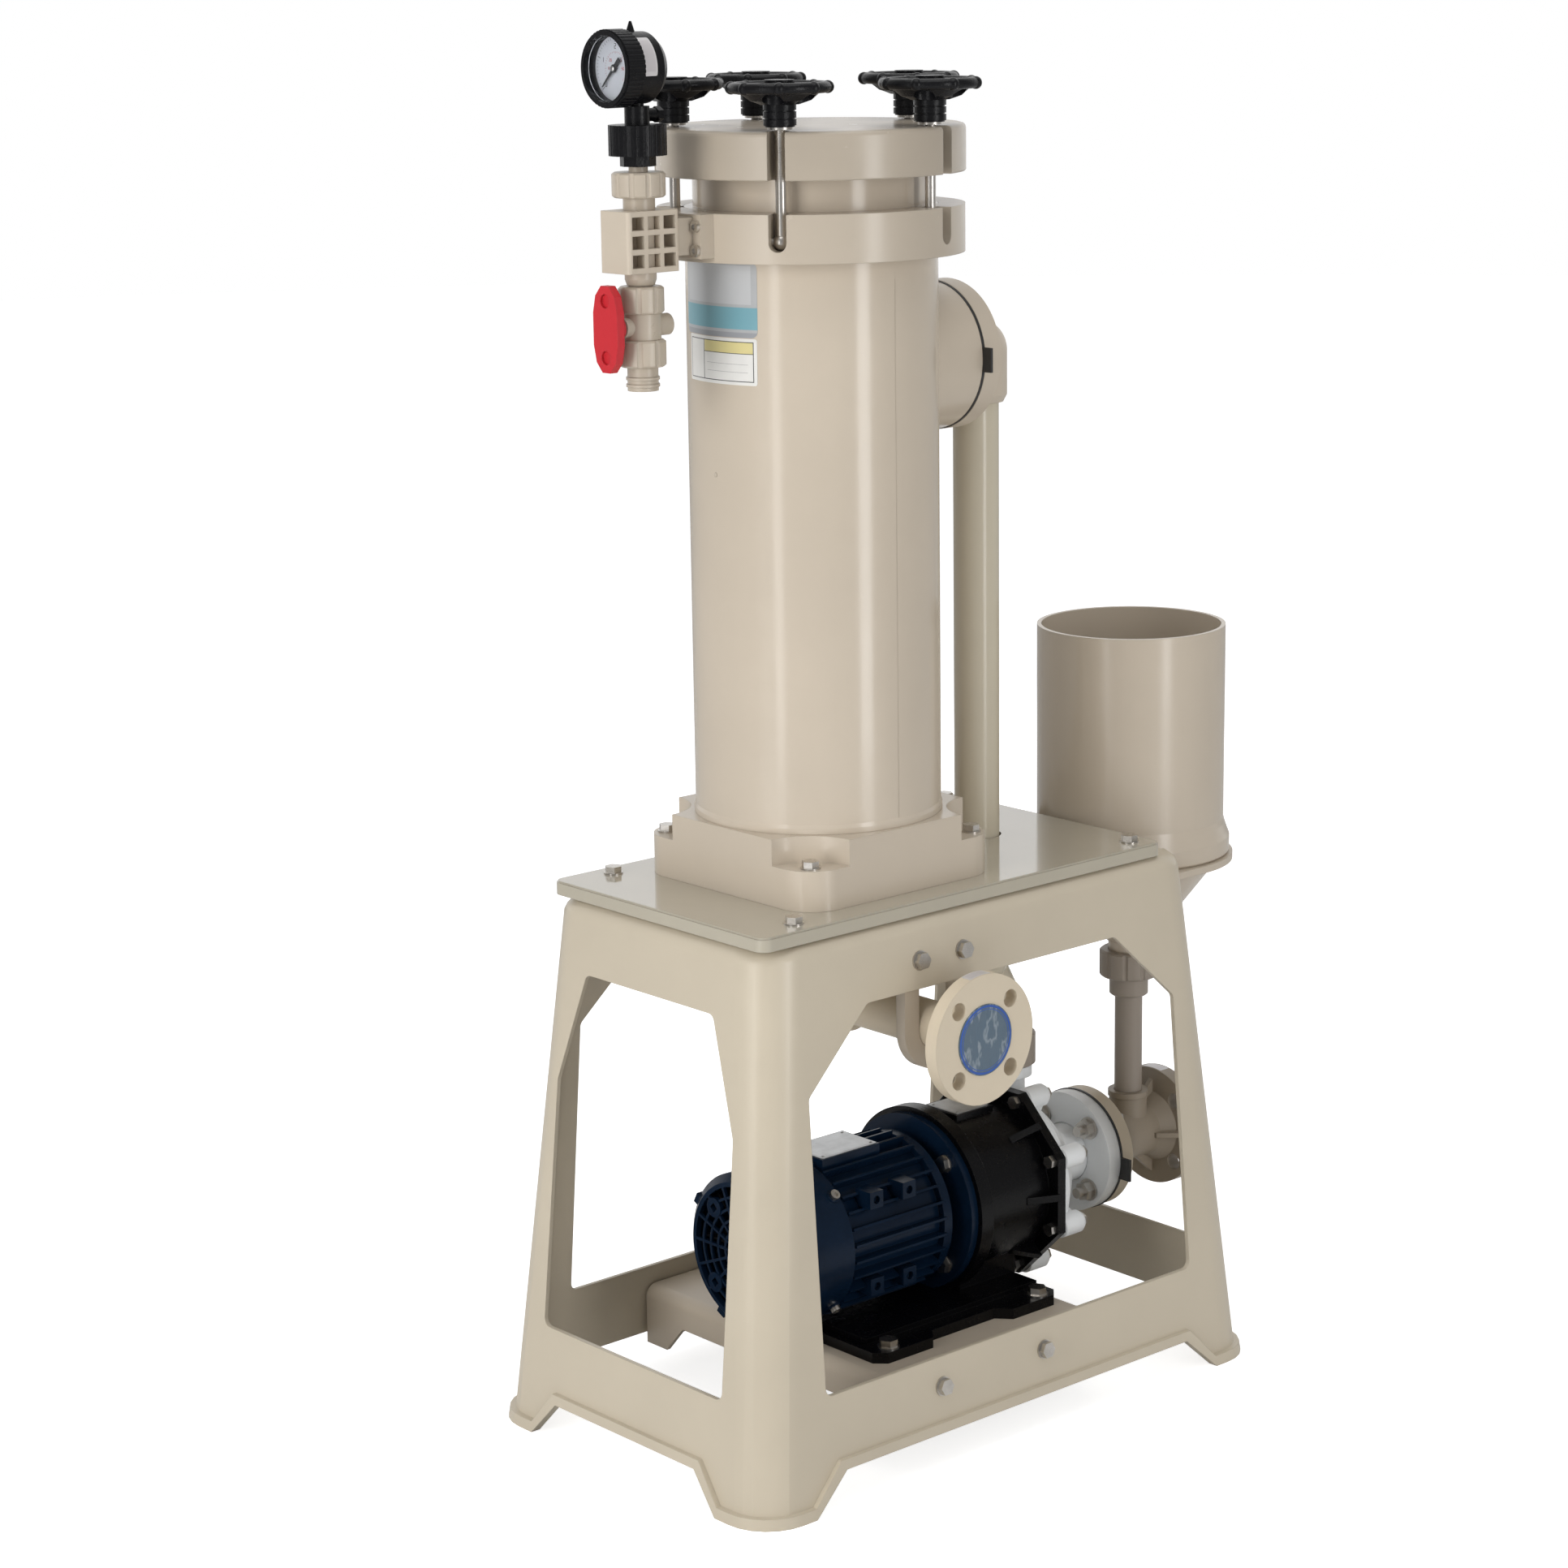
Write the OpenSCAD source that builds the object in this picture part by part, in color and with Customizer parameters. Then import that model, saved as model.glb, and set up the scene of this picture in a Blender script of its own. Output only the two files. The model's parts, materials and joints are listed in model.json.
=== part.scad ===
// Chemical filter pump: cartridge vessel, magnet-drive pump, dosing tank and moulded stand.
// Millimetres, +Z up, +X towards the suction flange, -Y towards the outlet flange.
// The row origin is the centre of the footprint on the floor.

/* [Stand] */
// Stand height up to the underside of the top plate
stand_h = 592; // [580:1:610]
// Stand length on the floor
stand_len = 742; // [730:1:760]
// Stand width on the floor
stand_wid = 448; // [440:1:460]
// How much each end leans in over the height
stand_lean_x = 54; // [46:1:58]
// How much each side leans in over the height
stand_lean_y = 48; // [40:1:50]
// Vertical corner radius
stand_corner_r = 48; // [40:1:56]
// Moulded wall thickness
stand_wall = 5; // [4:0.5:7]
// Stand centre ahead of the vessel axis
stand_x = 84; // [80:1:90]
// Window head height
window_top = 517; // [505:1:525]
// Window sill height
window_sill = 121; // [116:1:124]
// Length of the front window head
front_head_len = 366; // [350:1:380]
// Length of the front window sill
front_sill_len = 550; // [530:1:556]
// Height where the front window starts to narrow
front_haunch_z = 435; // [420:1:450]
// Width of the end window head
end_head_len = 206; // [195:1:215]
// Width of the end window sill
end_sill_len = 296; // [285:1:300]
// Height where the end window starts to narrow
end_haunch_z = 395; // [385:1:410]
// Clear height under the lower rails
rail_clear = 41; // [36:1:48]
// Moulded lip standing out round the feet and rails
lip_out = 7; // [4:1:9]

/* [Top plate] */
// Plate length
plate_len = 585; // [575:1:590]
// Plate width
plate_wid = 342; // [336:1:344]
// Plate thickness
plate_t = 15; // [12:1:18]
// Plate end behind the vessel axis
plate_back = 230; // [228:1:232]

/* [Vessel] */
// Base block side
base_side = 274; // [268:1:280]
// Base block height
base_h = 71; // [66:1:76]
// Height of the corner pocket floor above the plate
pocket_h = 43; // [38:1:48]
// Corner pocket radius
pocket_r = 57; // [52:1:60]
// Barrel outer radius
barrel_r = 131; // [128:0.5:132]
// Barrel inner radius
barrel_in = 119; // [117:0.5:121]
// Neck inner radius
neck_in = 114; // [113:0.5:115]
// Neck outer radius
neck_r = 122; // [121:0.5:124]
// Collar outer radius
collar_r = 159; // [156:0.5:161]
// Collar height
collar_h = 49; // [45:1:52]
// Collar underside height above the floor
collar_z = 1266; // [1262:1:1270]
// Vessel rim height above the floor
rim_z = 1348; // [1344:1:1352]
// Lid radius
lid_r = 160; // [158:0.5:162]
// Lid thickness
lid_h = 48; // [44:1:52]
// Width of the slots in lid and collar
slot_w = 18; // [17:0.5:20]
// Inlet port height above the floor
port_z = 1146; // [1140:1:1150]
// Inlet port outer radius
port_r = 79; // [76:0.5:82]
// Inlet port face ahead of the vessel axis
port_face = 170; // [166:1:174]
// Inlet cover flange thickness
cover_t = 23; // [20:1:25]

/* [Swing bolts] */
// Circle radius of the swing bolts
swing_pcr = 140; // [138:0.5:142]
// Swing bolt rod radius
rod_r = 5.5; // [5:0.1:6]
// Cross pin radius
pin_r = 4; // [3.5:0.1:4.5]
// Pivot height above the floor
pivot_z = 1287; // [1285:1:1289]
// Running clearance of the cross pin
pin_clear = 0.06; // [0.04:0.01:0.1]
// Gap left under each washer when backed off one turn
washer_gap = 1.5; // [1.4:0.1:2]
// Washer thickness
washer_t = 2.5; // [2:0.5:3]
// Handwheel rim radius
wheel_r = 46.5; // [44:0.5:48]
// Handwheel rim section radius
wheel_rim = 5.5; // [5:0.5:6]
// Handwheel hub radius
wheel_hub = 16.5; // [15:0.5:18]

/* [Pipes] */
// Main pipe radius
pipe_r = 25; // [25:0.1:25.5]
// Main pipe bore radius
pipe_in = 20; // [19:0.5:21]
// Riser centre ahead of the vessel axis
riser_x = 236.5; // [234:0.5:240]
// Flange radius
flange_r = 70; // [69:0.5:71]
// Flange bolt circle radius
flange_pcr = 52.5; // [52:0.5:53]
// Flange bolt hole radius
flange_hole = 9.5; // [9:0.5:10]
// Flange thickness
flange_t = 16; // [14:1:18]
// Outlet height above the floor
outlet_z = 468.7; // [465:0.1:472]
// Outlet centre along X from the vessel axis
outlet_x = 8.5; // [8:0.5:9]
// Outlet flange face ahead of the vessel axis
outlet_y = 244; // [242:1:246]

/* [Gauge column] */
// Column behind the vessel axis
col_x = 228; // [226:0.5:230]
// Column pipe radius
col_pipe = 16; // [15:0.5:17]
// Valve height above the floor
valve_z = 1207; // [1205:1:1209]
// Gauge centre height above the floor
gauge_z = 1460; // [1457:1:1463]
// Gauge bezel radius
bezel_r = 38; // [37:0.5:39]

/* [Pump and motor] */
// Pump axis towards the front from the vessel axis
pump_y = 18; // [17:0.5:19]
// Pump axis height above the floor
pump_z = 210; // [209:0.5:212]
// Motor flange radius
motor_flange = 100; // [98:1:102]
// Motor flange bolt circle radius
motor_pcr = 82.5; // [82:0.5:83]
// Motor finned radius
fin_r = 89; // [87:0.5:90]
// Fan cover radius
fan_cover_r = 88; // [86:0.5:89]
// Half width over flats of the bracket end plate
bracket_flat = 106; // [104:0.5:107]
// Casing bolt circle radius
casing_pcr = 104; // [103:0.5:105]
// Discharge nozzle centre ahead of the vessel axis
disc_x = 275; // [274.5:0.5:277]
// Tray top height above the floor
tray_z = 100; // [98:1:101]
// Tray length
tray_len = 316; // [312:1:320]
// Foot plate half width
foot_w = 134; // [130:1:136]

/* [Tank] */
// Tank axis ahead of the vessel axis
tank_x = 465; // [464:0.5:468]
// Tank outer radius
tank_r = 107; // [105:0.5:108]
// Tank wall thickness
tank_wall = 5; // [4:0.5:6]
// Tank rim height above the floor
tank_z = 818; // [814:1:822]
// Tank rim band radius
band_r = 114; // [112:0.5:115]

/* [Hidden] */
$fn = 64;
plate_z = stand_h + plate_t;
base_top = plate_z + base_h;
lid_top = rim_z + lid_h;
washer_z = lid_top + washer_gap;
hub_z = washer_z + washer_t;
py = -pump_y;
disc_y = py + 12;
deck_t = 6.5;
shelf_z = stand_h - 47;
shelf_x = tank_x - 127;
union_z = shelf_z - 143;
hang_z = stand_h - 45;
hang_top = hang_z + 15;
tray_half = stand_wid / 2 - 15;
span_lo_x = stand_x - stand_len / 2 - lip_out;
span_hi_x = tank_x + band_r + 4;
span_lo_y = -outlet_y - 1.2;
span_hi_y = stand_wid / 2 + lip_out;
shift_x = -(span_lo_x + span_hi_x) / 2;
shift_y = -(span_lo_y + span_hi_y) / 2;
beige = [0.77, 0.72, 0.65];
cream = [0.86, 0.81, 0.71];
steel = [0.72, 0.71, 0.68];
black = [0.06, 0.06, 0.07];
navy = [0.08, 0.16, 0.25];
white = [0.93, 0.93, 0.93];
grey = [0.52, 0.47, 0.42];
red = [0.75, 0.1, 0.12];

module at_pump(x) {
  translate([x, py, pump_z]) rotate([0, 90, 0]) children();
}

module along_x(x, y, z) {
  translate([x, y, z]) rotate([0, 90, 0]) children();
}

module ring(r_out, r_in, h) {
  difference() {
    cylinder(r = r_out, h = h);
    translate([0, 0, -1]) cylinder(r = r_in, h = h + 2);
  }
}

module tube_cut(r, h) {
  translate([0, 0, -0.01]) cylinder(r = r, h = h + 0.02);
}

module slab2d(hx, hy, r) {
  square([2 * hx, 2 * (hy - r)], center = true);
  square([2 * (hx - r), 2 * hy], center = true);
  for (sx = [-1, 1]) {
    for (sy = [-1, 1]) translate([sx * (hx - r), sy * (hy - r)]) circle(r = r);
  }
}

module hex(af, h) {
  cylinder(d = af / cos(30), h = h, $fn = 6);
}

module bolt(af, head, r, len, wr) {
  translate([0, 0, 1.6]) hex(af, head);
  cylinder(r = wr, h = 1.6);
  translate([0, 0, -len]) cylinder(r = r, h = len + 2);
}

module grips(r, count, gr, h) {
  for (i = [0:count - 1]) rotate([0, 0, i * 360 / count]) translate([r, 0, -0.5]) cylinder(r = gr, h = h + 1, $fn = 16);
}

// Moulded stand
function half_x(z) = stand_len / 2 - stand_lean_x * z / stand_h;
function half_y(z) = stand_wid / 2 - stand_lean_y * z / stand_h;

function east(q) = (q == 0 || q == 3) ? 1 : -1;
function north(q) = (q < 2) ? 1 : -1;
function corner_x(q, z, o, r) = stand_x + east(q) * (half_x(z) + o - r);
function corner_y(q, z, o, r) = north(q) * (half_y(z) + o - r);
function corner_at(q, a, z, o, r) = [corner_x(q, z, o, r) + r * cos(a), corner_y(q, z, o, r) + r * sin(a), z];
function section(z, o, r) = [for (q = [0:3]) for (k = [0:6]) corner_at(q, 90 * q + 15 * k, z, o, r)];

module tower(levels, r) {
  n = 28;
  m = len(levels);
  pts = [for (v = levels) each section(v[0], v[1], r)];
  floor_face = [for (i = [0:n - 1]) i];
  roof_face = [for (i = [0:n - 1]) m * n - 1 - i];
  sides = [for (j = [0:m - 2]) for (i = [0:n - 1]) [j * n + i, (j + 1) * n + i, (j + 1) * n + (i + 1) % n, j * n + (i + 1) % n]];
  polyhedron(points = pts, faces = concat([floor_face], [roof_face], sides));
}

module window2d(head, sill, haunch) {
  r = 9;
  offset(r = r, $fn = 24) offset(delta = -r) polygon([[-sill / 2, window_sill], [sill / 2, window_sill], [sill / 2 - 4, haunch], [head / 2, window_top], [-head / 2, window_top], [-sill / 2 + 4, haunch]]);
}

module notch2d(open_top, open_floor, grow) {
  polygon([[-open_floor / 2 - grow, -2], [open_floor / 2 + grow, -2], [open_floor / 2 + grow, 0], [open_top / 2 + grow * 0.6, rail_clear + grow], [-open_top / 2 - grow * 0.6, rail_clear + grow], [-open_floor / 2 - grow, 0]]);
}

module across_y() {
  translate([stand_x, 400, 0]) rotate([90, 0, 0]) linear_extrude(height = 800) children();
}

module across_x() {
  translate([stand_x - 500, 0, 0]) rotate([90, 0, 90]) linear_extrude(height = 1000) children();
}

module stand_shell() {
  tower([[0, 0], [stand_h - 17, 0], [stand_h - 10, -2], [stand_h - 4, -7], [stand_h, -15]], stand_corner_r);
}

module stand_core() {
  tower([[-1, -stand_wall], [stand_h - 30, -stand_wall], [stand_h - deck_t, -stand_wall - 8]], stand_corner_r - stand_wall);
}

module foot_band() {
  translate([stand_x - 500, -400, -1]) cube([1000, 800, 13]);
}

module stand_lip() {
  intersection() {
    tower([[0, lip_out], [rail_clear + 12, lip_out - 1.5]], stand_corner_r + lip_out);
    union() {
      foot_band();
      across_y() notch2d(516, 608, 11);
      across_x() notch2d(232, 308, 11);
    }
  }
}

module stand() {
  color(beige) difference() {
    union() {
      stand_shell();
      stand_lip();
    }
    stand_core();
    across_y() window2d(front_head_len, front_sill_len, front_haunch_z);
    across_x() window2d(end_head_len, end_sill_len, end_haunch_z);
    across_y() notch2d(516, 608, 0);
    across_x() notch2d(232, 308, 0);
    translate([shelf_x + 11, py - 126, stand_h - 87]) cube([200, 252, 100]);
    translate([riser_x, 0, stand_h - 10]) cylinder(r = pipe_r + 4, h = 20);
    translate([outlet_x, 0, stand_h - 10]) cylinder(r = pipe_r + 4, h = 20);
    plate_bolt_places() translate([0, 0, -40]) cylinder(r = 5.4, h = 60);
    base_bolt_places() translate([0, 0, -80]) cylinder(r = 5.4, h = 90);
    rail_bolt_places() translate([0, 0, -20]) cylinder(r = 5.4, h = 30);
    hanger_bolt_places() translate([0, 0, -12]) cylinder(r = 5.4, h = 30);
    shelf_bolt_places() cylinder(r = 4.4, h = 20, center = true);
  }
}

module plate_bolt_places() {
  for (x = [-166, 328]) {
    for (y = [-146, 146]) translate([x, y, plate_z]) children();
  }
}

module base_bolt_places() {
  for (x = [-115, 115]) {
    for (y = [-115, 115]) translate([x, y, plate_z + pocket_h]) children();
  }
}

module rail_bolt_places() {
  tilt = atan(stand_lean_y / stand_h);
  for (s = [-1, 1]) {
    for (x = [-28, 124]) translate([x, s * half_y(89), 89]) rotate([-s * (90 - tilt), 0, 0]) children();
  }
}

module hanger_bolt_places() {
  tilt = atan(stand_lean_y / stand_h);
  for (x = [outlet_x - 31, outlet_x + 31]) translate([x, -half_y(hang_z), hang_z]) rotate([90 - tilt, 0, 0]) children();
}

module shelf_bolt_places() {
  for (y = [-100, 64]) translate([shelf_x - 20, y, stand_h]) children();
}

module top_plate() {
  color(beige) difference() {
    translate([plate_len / 2 - plate_back, 0, stand_h]) union() {
      linear_extrude(height = plate_t - 2) slab2d(plate_len / 2, plate_wid / 2, 12);
      translate([0, 0, plate_t - 2]) linear_extrude(height = 2) slab2d(plate_len / 2 - 1.5, plate_wid / 2 - 1.5, 10.5);
    }
    translate([riser_x, 0, stand_h - 1]) cylinder(r = pipe_r + 2, h = 30);
    translate([outlet_x, 0, stand_h - 1]) cylinder(r = pipe_r + 2, h = 30);
    plate_bolt_places() translate([0, 0, -30]) cylinder(r = 5.3, h = 40);
    base_bolt_places() translate([0, 0, -70]) cylinder(r = 5.3, h = 70);
  }
}

// Tray between the lower rails
module tray_block(grow) {
  r = 14 + grow;
  hx = tray_len / 2 + grow;
  translate([-84 + tray_len / 2, 0, 0]) rotate([90, 0, 0]) translate([0, tray_z - 70 + grow, 0]) linear_extrude(height = 2 * (tray_half + grow), center = true) slab2d(hx, 70, r);
}

module pump_tray() {
  color(beige) difference() {
    tray_block(0);
    tray_block(-5);
    translate([-200, -300, -100]) cube([600, 600, 132]);
    translate([-100, 0, 32]) rotate([90, 0, 90]) linear_extrude(height = 400) polygon([[33 - tray_half, -2], [tray_half - 33, -2], [tray_half - 63, 32], [63 - tray_half, 32]]);
    rail_bolt_places() translate([0, 0, -30]) cylinder(r = 5.4, h = 60);
    foot_bolt_places() translate([0, 0, -40]) cylinder(r = 5.4, h = 60);
  }
}

module foot_bolt_places() {
  for (x = [-33, 193]) {
    for (s = [-1, 1]) translate([x, py + s * 120, tray_z + 12]) children();
  }
}

module frame_bolts() {
  color(steel) union() {
    plate_bolt_places() bolt(16, 6.5, 5, 24, 10.5);
    base_bolt_places() bolt(16, 6.5, 5, 66, 10.5);
    rail_bolt_places() bolt(16, 6.5, 5, 18, 10.5);
    hanger_bolt_places() bolt(16, 6.5, 5, 12, 10.5);
    foot_bolt_places() bolt(18, 7.5, 5, 22, 12);
    shelf_bolt_places() translate([0, 0, -15]) cylinder(r = 4, h = 15);
    shelf_bolt_places() translate([0, 0, -deck_t - 12.5]) hex(13, 6.5);
    port_bolt_places() bolt(16, 6, 5, 40, 10.5);
    for (z = [collar_z + 13, collar_z + 37]) translate([-173, -22.3, z]) rotate([0, -90, 0]) cap_screw(5.8, 3, 12);
  }
}

// Cartridge vessel
module vessel_base() {
  color(beige) difference() {
    translate([0, 0, plate_z]) linear_extrude(height = base_h) slab2d(base_side / 2, base_side / 2, 40);
    for (x = [-1, 1]) {
      for (y = [-1, 1]) translate([x * base_side / 2, y * base_side / 2, plate_z + pocket_h]) cylinder(r = pocket_r, h = 60);
    }
    translate([0, 0, plate_z + 33]) cylinder(r = 105, h = 80);
    translate([outlet_x, 0, plate_z - 1]) cylinder(r = pipe_r + 0.3, h = 60);
    base_bolt_places() translate([0, 0, -60]) cylinder(r = 5.3, h = 70);
  }
}

module barrel() {
  color(beige) difference() {
    union() {
      translate([0, 0, base_top]) cylinder(r = barrel_r + 1.5, h = 6);
      translate([0, 0, base_top + 6]) cylinder(r1 = barrel_r + 1.5, r2 = barrel_r, h = 4);
      translate([0, 0, base_top]) cylinder(r = barrel_r, h = collar_z + collar_h - base_top);
      translate([0, 0, base_top]) cylinder(r = neck_r, h = rim_z - base_top);
      along_x(60, 0, port_z) cylinder(r = port_r, h = port_face - 60);
    }
    translate([0, 0, base_top - 1]) cylinder(r = barrel_in, h = 1240 - base_top);
    translate([0, 0, 1238.9]) cylinder(r1 = barrel_in, r2 = neck_in, h = 8);
    translate([0, 0, 1240]) cylinder(r = neck_in, h = 200);
    along_x(50, 0, port_z) cylinder(r = 30, h = 200);
    port_bolt_places() translate([0, 0, -46]) cylinder(r = 5.4, h = 40);
    translate([0, 0, rim_z - 5.3]) ring(120.8, 115.4, 10);
  }
}

module cap_screw(head_r, r, len) {
  difference() {
    cylinder(r = head_r, h = 4.4);
    translate([0, 0, 2.2]) hex(head_r, 3);
  }
  translate([0, 0, -len]) cylinder(r = r, h = len + 1);
}

module slot_places() {
  for (i = [0:4]) rotate([0, 0, 72 * i]) translate([swing_pcr, 0, 0]) children();
}

module collar() {
  color(beige) difference() {
    union() {
      translate([0, 0, collar_z]) ring(collar_r, barrel_r + 0.3, collar_h);
      difference() {
        translate([-173, -29, collar_z + 5]) cube([40, 58, collar_h - 5]);
        translate([0, 0, collar_z - 1]) cylinder(r = barrel_r + 0.3, h = 80);
      }
      translate([-col_x + 33, -16, collar_z + 9]) cube([30, 32, collar_h - 12]);
    }
    slot_places() translate([-slot_w / 2, -slot_w / 2, pivot_z]) cube([60, slot_w, 60]);
    slot_places() translate([-slot_w / 2, 0, pivot_z]) rotate([0, 90, 0]) cylinder(r = slot_w / 2, h = 60);
    slot_places() translate([0, -24.3, pivot_z]) rotate([-90, 0, 0]) cylinder(r = pin_r + pin_clear, h = 48.6);
    for (z = [collar_z + 13, collar_z + 37]) translate([-174, -22.3, z]) rotate([0, 90, 0]) cylinder(r = 3.3, h = 14);
  }
}

module lid() {
  color(beige) difference() {
    union() {
      translate([0, 0, rim_z]) rotate_extrude() polygon([[0, 0], [lid_r - 1, 0], [lid_r, 1], [lid_r, lid_h - 5], [lid_r - 0.6, lid_h - 2.6], [lid_r - 2.4, lid_h - 0.7], [lid_r - 5, lid_h], [0, lid_h]]);
      translate([0, 0, rim_z - 12]) cylinder(r = neck_in - 0.6, h = 12.5);
    }
    translate([0, 0, rim_z - 13]) cylinder(r = 96, h = 27);
    slot_places() translate([0, -slot_w / 2, rim_z - 1]) cube([60, slot_w, 80]);
    slot_places() translate([0, 0, rim_z - 1]) cylinder(r = slot_w / 2, h = 80);
  }
}

module lid_seal() {
  color(black) translate([0, 0, rim_z - 2.65]) rotate_extrude() translate([118.1, 0]) circle(r = 2.6, $fn = 32);
}

module swing_bolt(i) {
  color(steel) rotate([0, 0, 72 * (i - 1)]) translate([swing_pcr, 0, 0]) union() {
    translate([0, 0, pivot_z]) cylinder(r = rod_r, h = hub_z + 38 - pivot_z);
    translate([0, 0, pivot_z]) sphere(r = 8.4);
    translate([0, -24, pivot_z]) rotate([-90, 0, 0]) cylinder(r = pin_r, h = 48);
  }
}

module lid_washer(i) {
  color(steel) rotate([0, 0, 72 * (i - 1)]) translate([swing_pcr, 0, washer_z]) ring(12.5, rod_r + 0.4, washer_t);
}

module handwheel(i) {
  rim_h = hub_z + 38.5;
  color(black) rotate([0, 0, 72 * (i - 1)]) translate([swing_pcr, 0, 0]) difference() {
    union() {
      translate([0, 0, hub_z]) cylinder(r = wheel_hub - 1.5, h = 46);
      translate([0, 0, hub_z + 1.5]) cylinder(r = wheel_hub, h = 6);
      translate([0, 0, hub_z + 9]) cylinder(r = wheel_hub, h = 6);
      translate([0, 0, hub_z + 16.5]) cylinder(r = wheel_hub, h = 16);
      translate([0, 0, rim_h]) rotate_extrude() translate([wheel_r, 0]) circle(r = wheel_rim, $fn = 32);
      for (k = [0:7]) rotate([0, 0, 45 * k + 12]) translate([wheel_r + 1.2, 0, rim_h]) sphere(r = wheel_rim + 0.9);
      difference() {
        translate([0, 0, hub_z]) rotate_extrude() polygon([[10, 22], [20, 22], [32, 26], [41, 34], [wheel_r, 38], [wheel_r, 43], [36, 41], [27, 35], [18, 31], [10, 31]]);
        for (k = [0:4]) rotate([0, 0, 72 * k]) translate([29.5, 0, hub_z]) cylinder(r = 10.5, h = 60);
      }
    }
    translate([0, 0, hub_z - 1]) cylinder(r = rod_r + 0.35, h = 43);
  }
}

// Pieces inside the vessel
module cartridge_places() {
  children();
  for (i = [0:5]) rotate([0, 0, 60 * i + 30]) translate([75, 0, 0]) children();
}

module seat_plate() {
  color(white) difference() {
    union() {
      translate([0, 0, base_top]) cylinder(r = neck_in - 1, h = 12);
      cartridge_places() translate([0, 0, base_top + 10]) cylinder(r = 12, h = 24);
    }
    cartridge_places() translate([0, 0, base_top - 1]) cylinder(r = 8, h = 50);
  }
}

module cartridges() {
  color(white) cartridge_places() translate([0, 0, base_top + 12.5]) difference() {
    union() {
      cylinder(r = 31.5, h = 508);
      translate([0, 0, -0.5]) cylinder(r = 28, h = 509);
    }
    translate([0, 0, -1]) cylinder(r = 13.5, h = 511);
  }
}

module retainer() {
  top = base_top + 521.5;
  color(white) difference() {
    union() {
      translate([0, 0, top]) cylinder(r = 111, h = 8);
      cartridge_places() translate([0, 0, top - 12]) cylinder(r = 12, h = 14);
      translate([0, 0, top]) cylinder(r = 14, h = 60);
      translate([-45, -7, top + 50]) cube([90, 14, 12]);
    }
    for (i = [0:5]) rotate([0, 0, 60 * i]) translate([62, 0, top - 1]) cylinder(r = 14, h = 20);
  }
}

// Inlet and riser
module port_bolt_places() {
  for (a = [45:90:315]) along_x(port_face + 3 + cover_t - 8, 0, port_z) rotate([0, 0, a]) translate([60, 0, 0]) children();
}

module gaskets() {
  color(black) difference() {
    union() {
      along_x(port_face, 0, port_z) ring(port_r + 0.6, 30, 3);
      translate([port_face, -port_r - 12, port_z - 13]) cube([3, 14, 26]);
      at_pump(379) ring(flange_r + 1, 22, 3);
      translate([379, py - flange_r - 14, pump_z - 21]) cube([3, 16, 26]);
    }
    port_bolt_places() translate([0, 0, -60]) cylinder(r = 5.4, h = 60);
    for (a = [45:90:315]) at_pump(376) rotate([0, 0, a]) translate([flange_pcr, 0, 0]) cylinder(r = 7, h = 10);
  }
}

module inlet_elbow() {
  face = port_face + 3;
  color(beige) difference() {
    union() {
      along_x(face, 0, port_z) cylinder(r = port_r + 1, h = cover_t);
      along_x(face + cover_t, 0, port_z) cylinder(r1 = port_r + 1, r2 = port_r - 1, h = 2);
      along_x(face + 10, 0, port_z) cylinder(r = 34, h = riser_x - face - 10);
      translate([riser_x, 0, port_z]) sphere(r = 34);
      translate([riser_x, 0, port_z - 48]) cylinder(r = 34, h = 48);
      translate([riser_x, 0, port_z - 56]) cylinder(r1 = 30, r2 = 34, h = 8);
    }
    along_x(face - 1, 0, port_z) cylinder(r = pipe_in, h = riser_x - face);
    translate([riser_x, 0, port_z]) sphere(r = pipe_in);
    translate([riser_x, 0, port_z - 57]) cylinder(r = pipe_in, h = 57);
    translate([riser_x, 0, port_z - 57]) cylinder(r = pipe_r + 0.3, h = 45);
    port_bolt_places() cylinder(r = 11, h = 20);
    port_bolt_places() translate([0, 0, -30]) cylinder(r = 5.4, h = 40);
  }
}

module riser_pipe() {
  low_x = disc_x;
  low_y = disc_y;
  dx = low_x - riser_x;
  run = sqrt(dx * dx + low_y * low_y);
  rise = 78;
  reach = sqrt(run * run + rise * rise);
  color(beige) difference() {
    union() {
      translate([riser_x, 0, 466]) cylinder(r = pipe_r, h = port_z - 12.5 - 466);
      translate([riser_x, 0, 466]) cylinder(r = 35, h = 50);
      translate([riser_x, 0, 516]) cylinder(r1 = 35, r2 = 32, h = 4);
      translate([riser_x, 0, 466]) sphere(r = 35.4);
      translate([low_x, low_y, 388]) sphere(r = 29.4);
      translate([low_x, low_y, 374]) cylinder(r = 29, h = 14);
      translate([low_x, low_y, 334]) cylinder(r = pipe_r, h = 50);
      translate([low_x, low_y, 388]) rotate([0, -atan2(run, rise), atan2(low_y, dx)]) cylinder(r = pipe_r + 2, h = reach);
    }
    translate([riser_x, 0, 466]) cylinder(r = pipe_in, h = 800);
    translate([riser_x, 0, 466]) sphere(r = pipe_in + 0.6);
    translate([low_x, low_y, 388]) sphere(r = pipe_in + 0.6);
    translate([low_x, low_y, 330]) cylinder(r = pipe_in, h = 58);
    translate([low_x, low_y, 388]) rotate([0, -atan2(run, rise), atan2(low_y, dx)]) cylinder(r = pipe_in - 1, h = reach);
  }
}

// Gauge and vent column
module column_clamp() {
  color(beige) translate([-col_x, 0, 1261]) difference() {
    union() {
      linear_extrude(height = 61) slab2d(33, 22.5, 4, $fn = 24);
      translate([28, -11, 10]) cube([5, 22, 40]);
    }
    tube_cut(col_pipe + 0.3, 61);
    for (x = [-20, 0, 20]) {
      for (z = [12, 30.5, 49]) translate([x - 7.5, -40, z - 6.5]) cube([15, 80, 13]);
    }
  }
}

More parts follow.
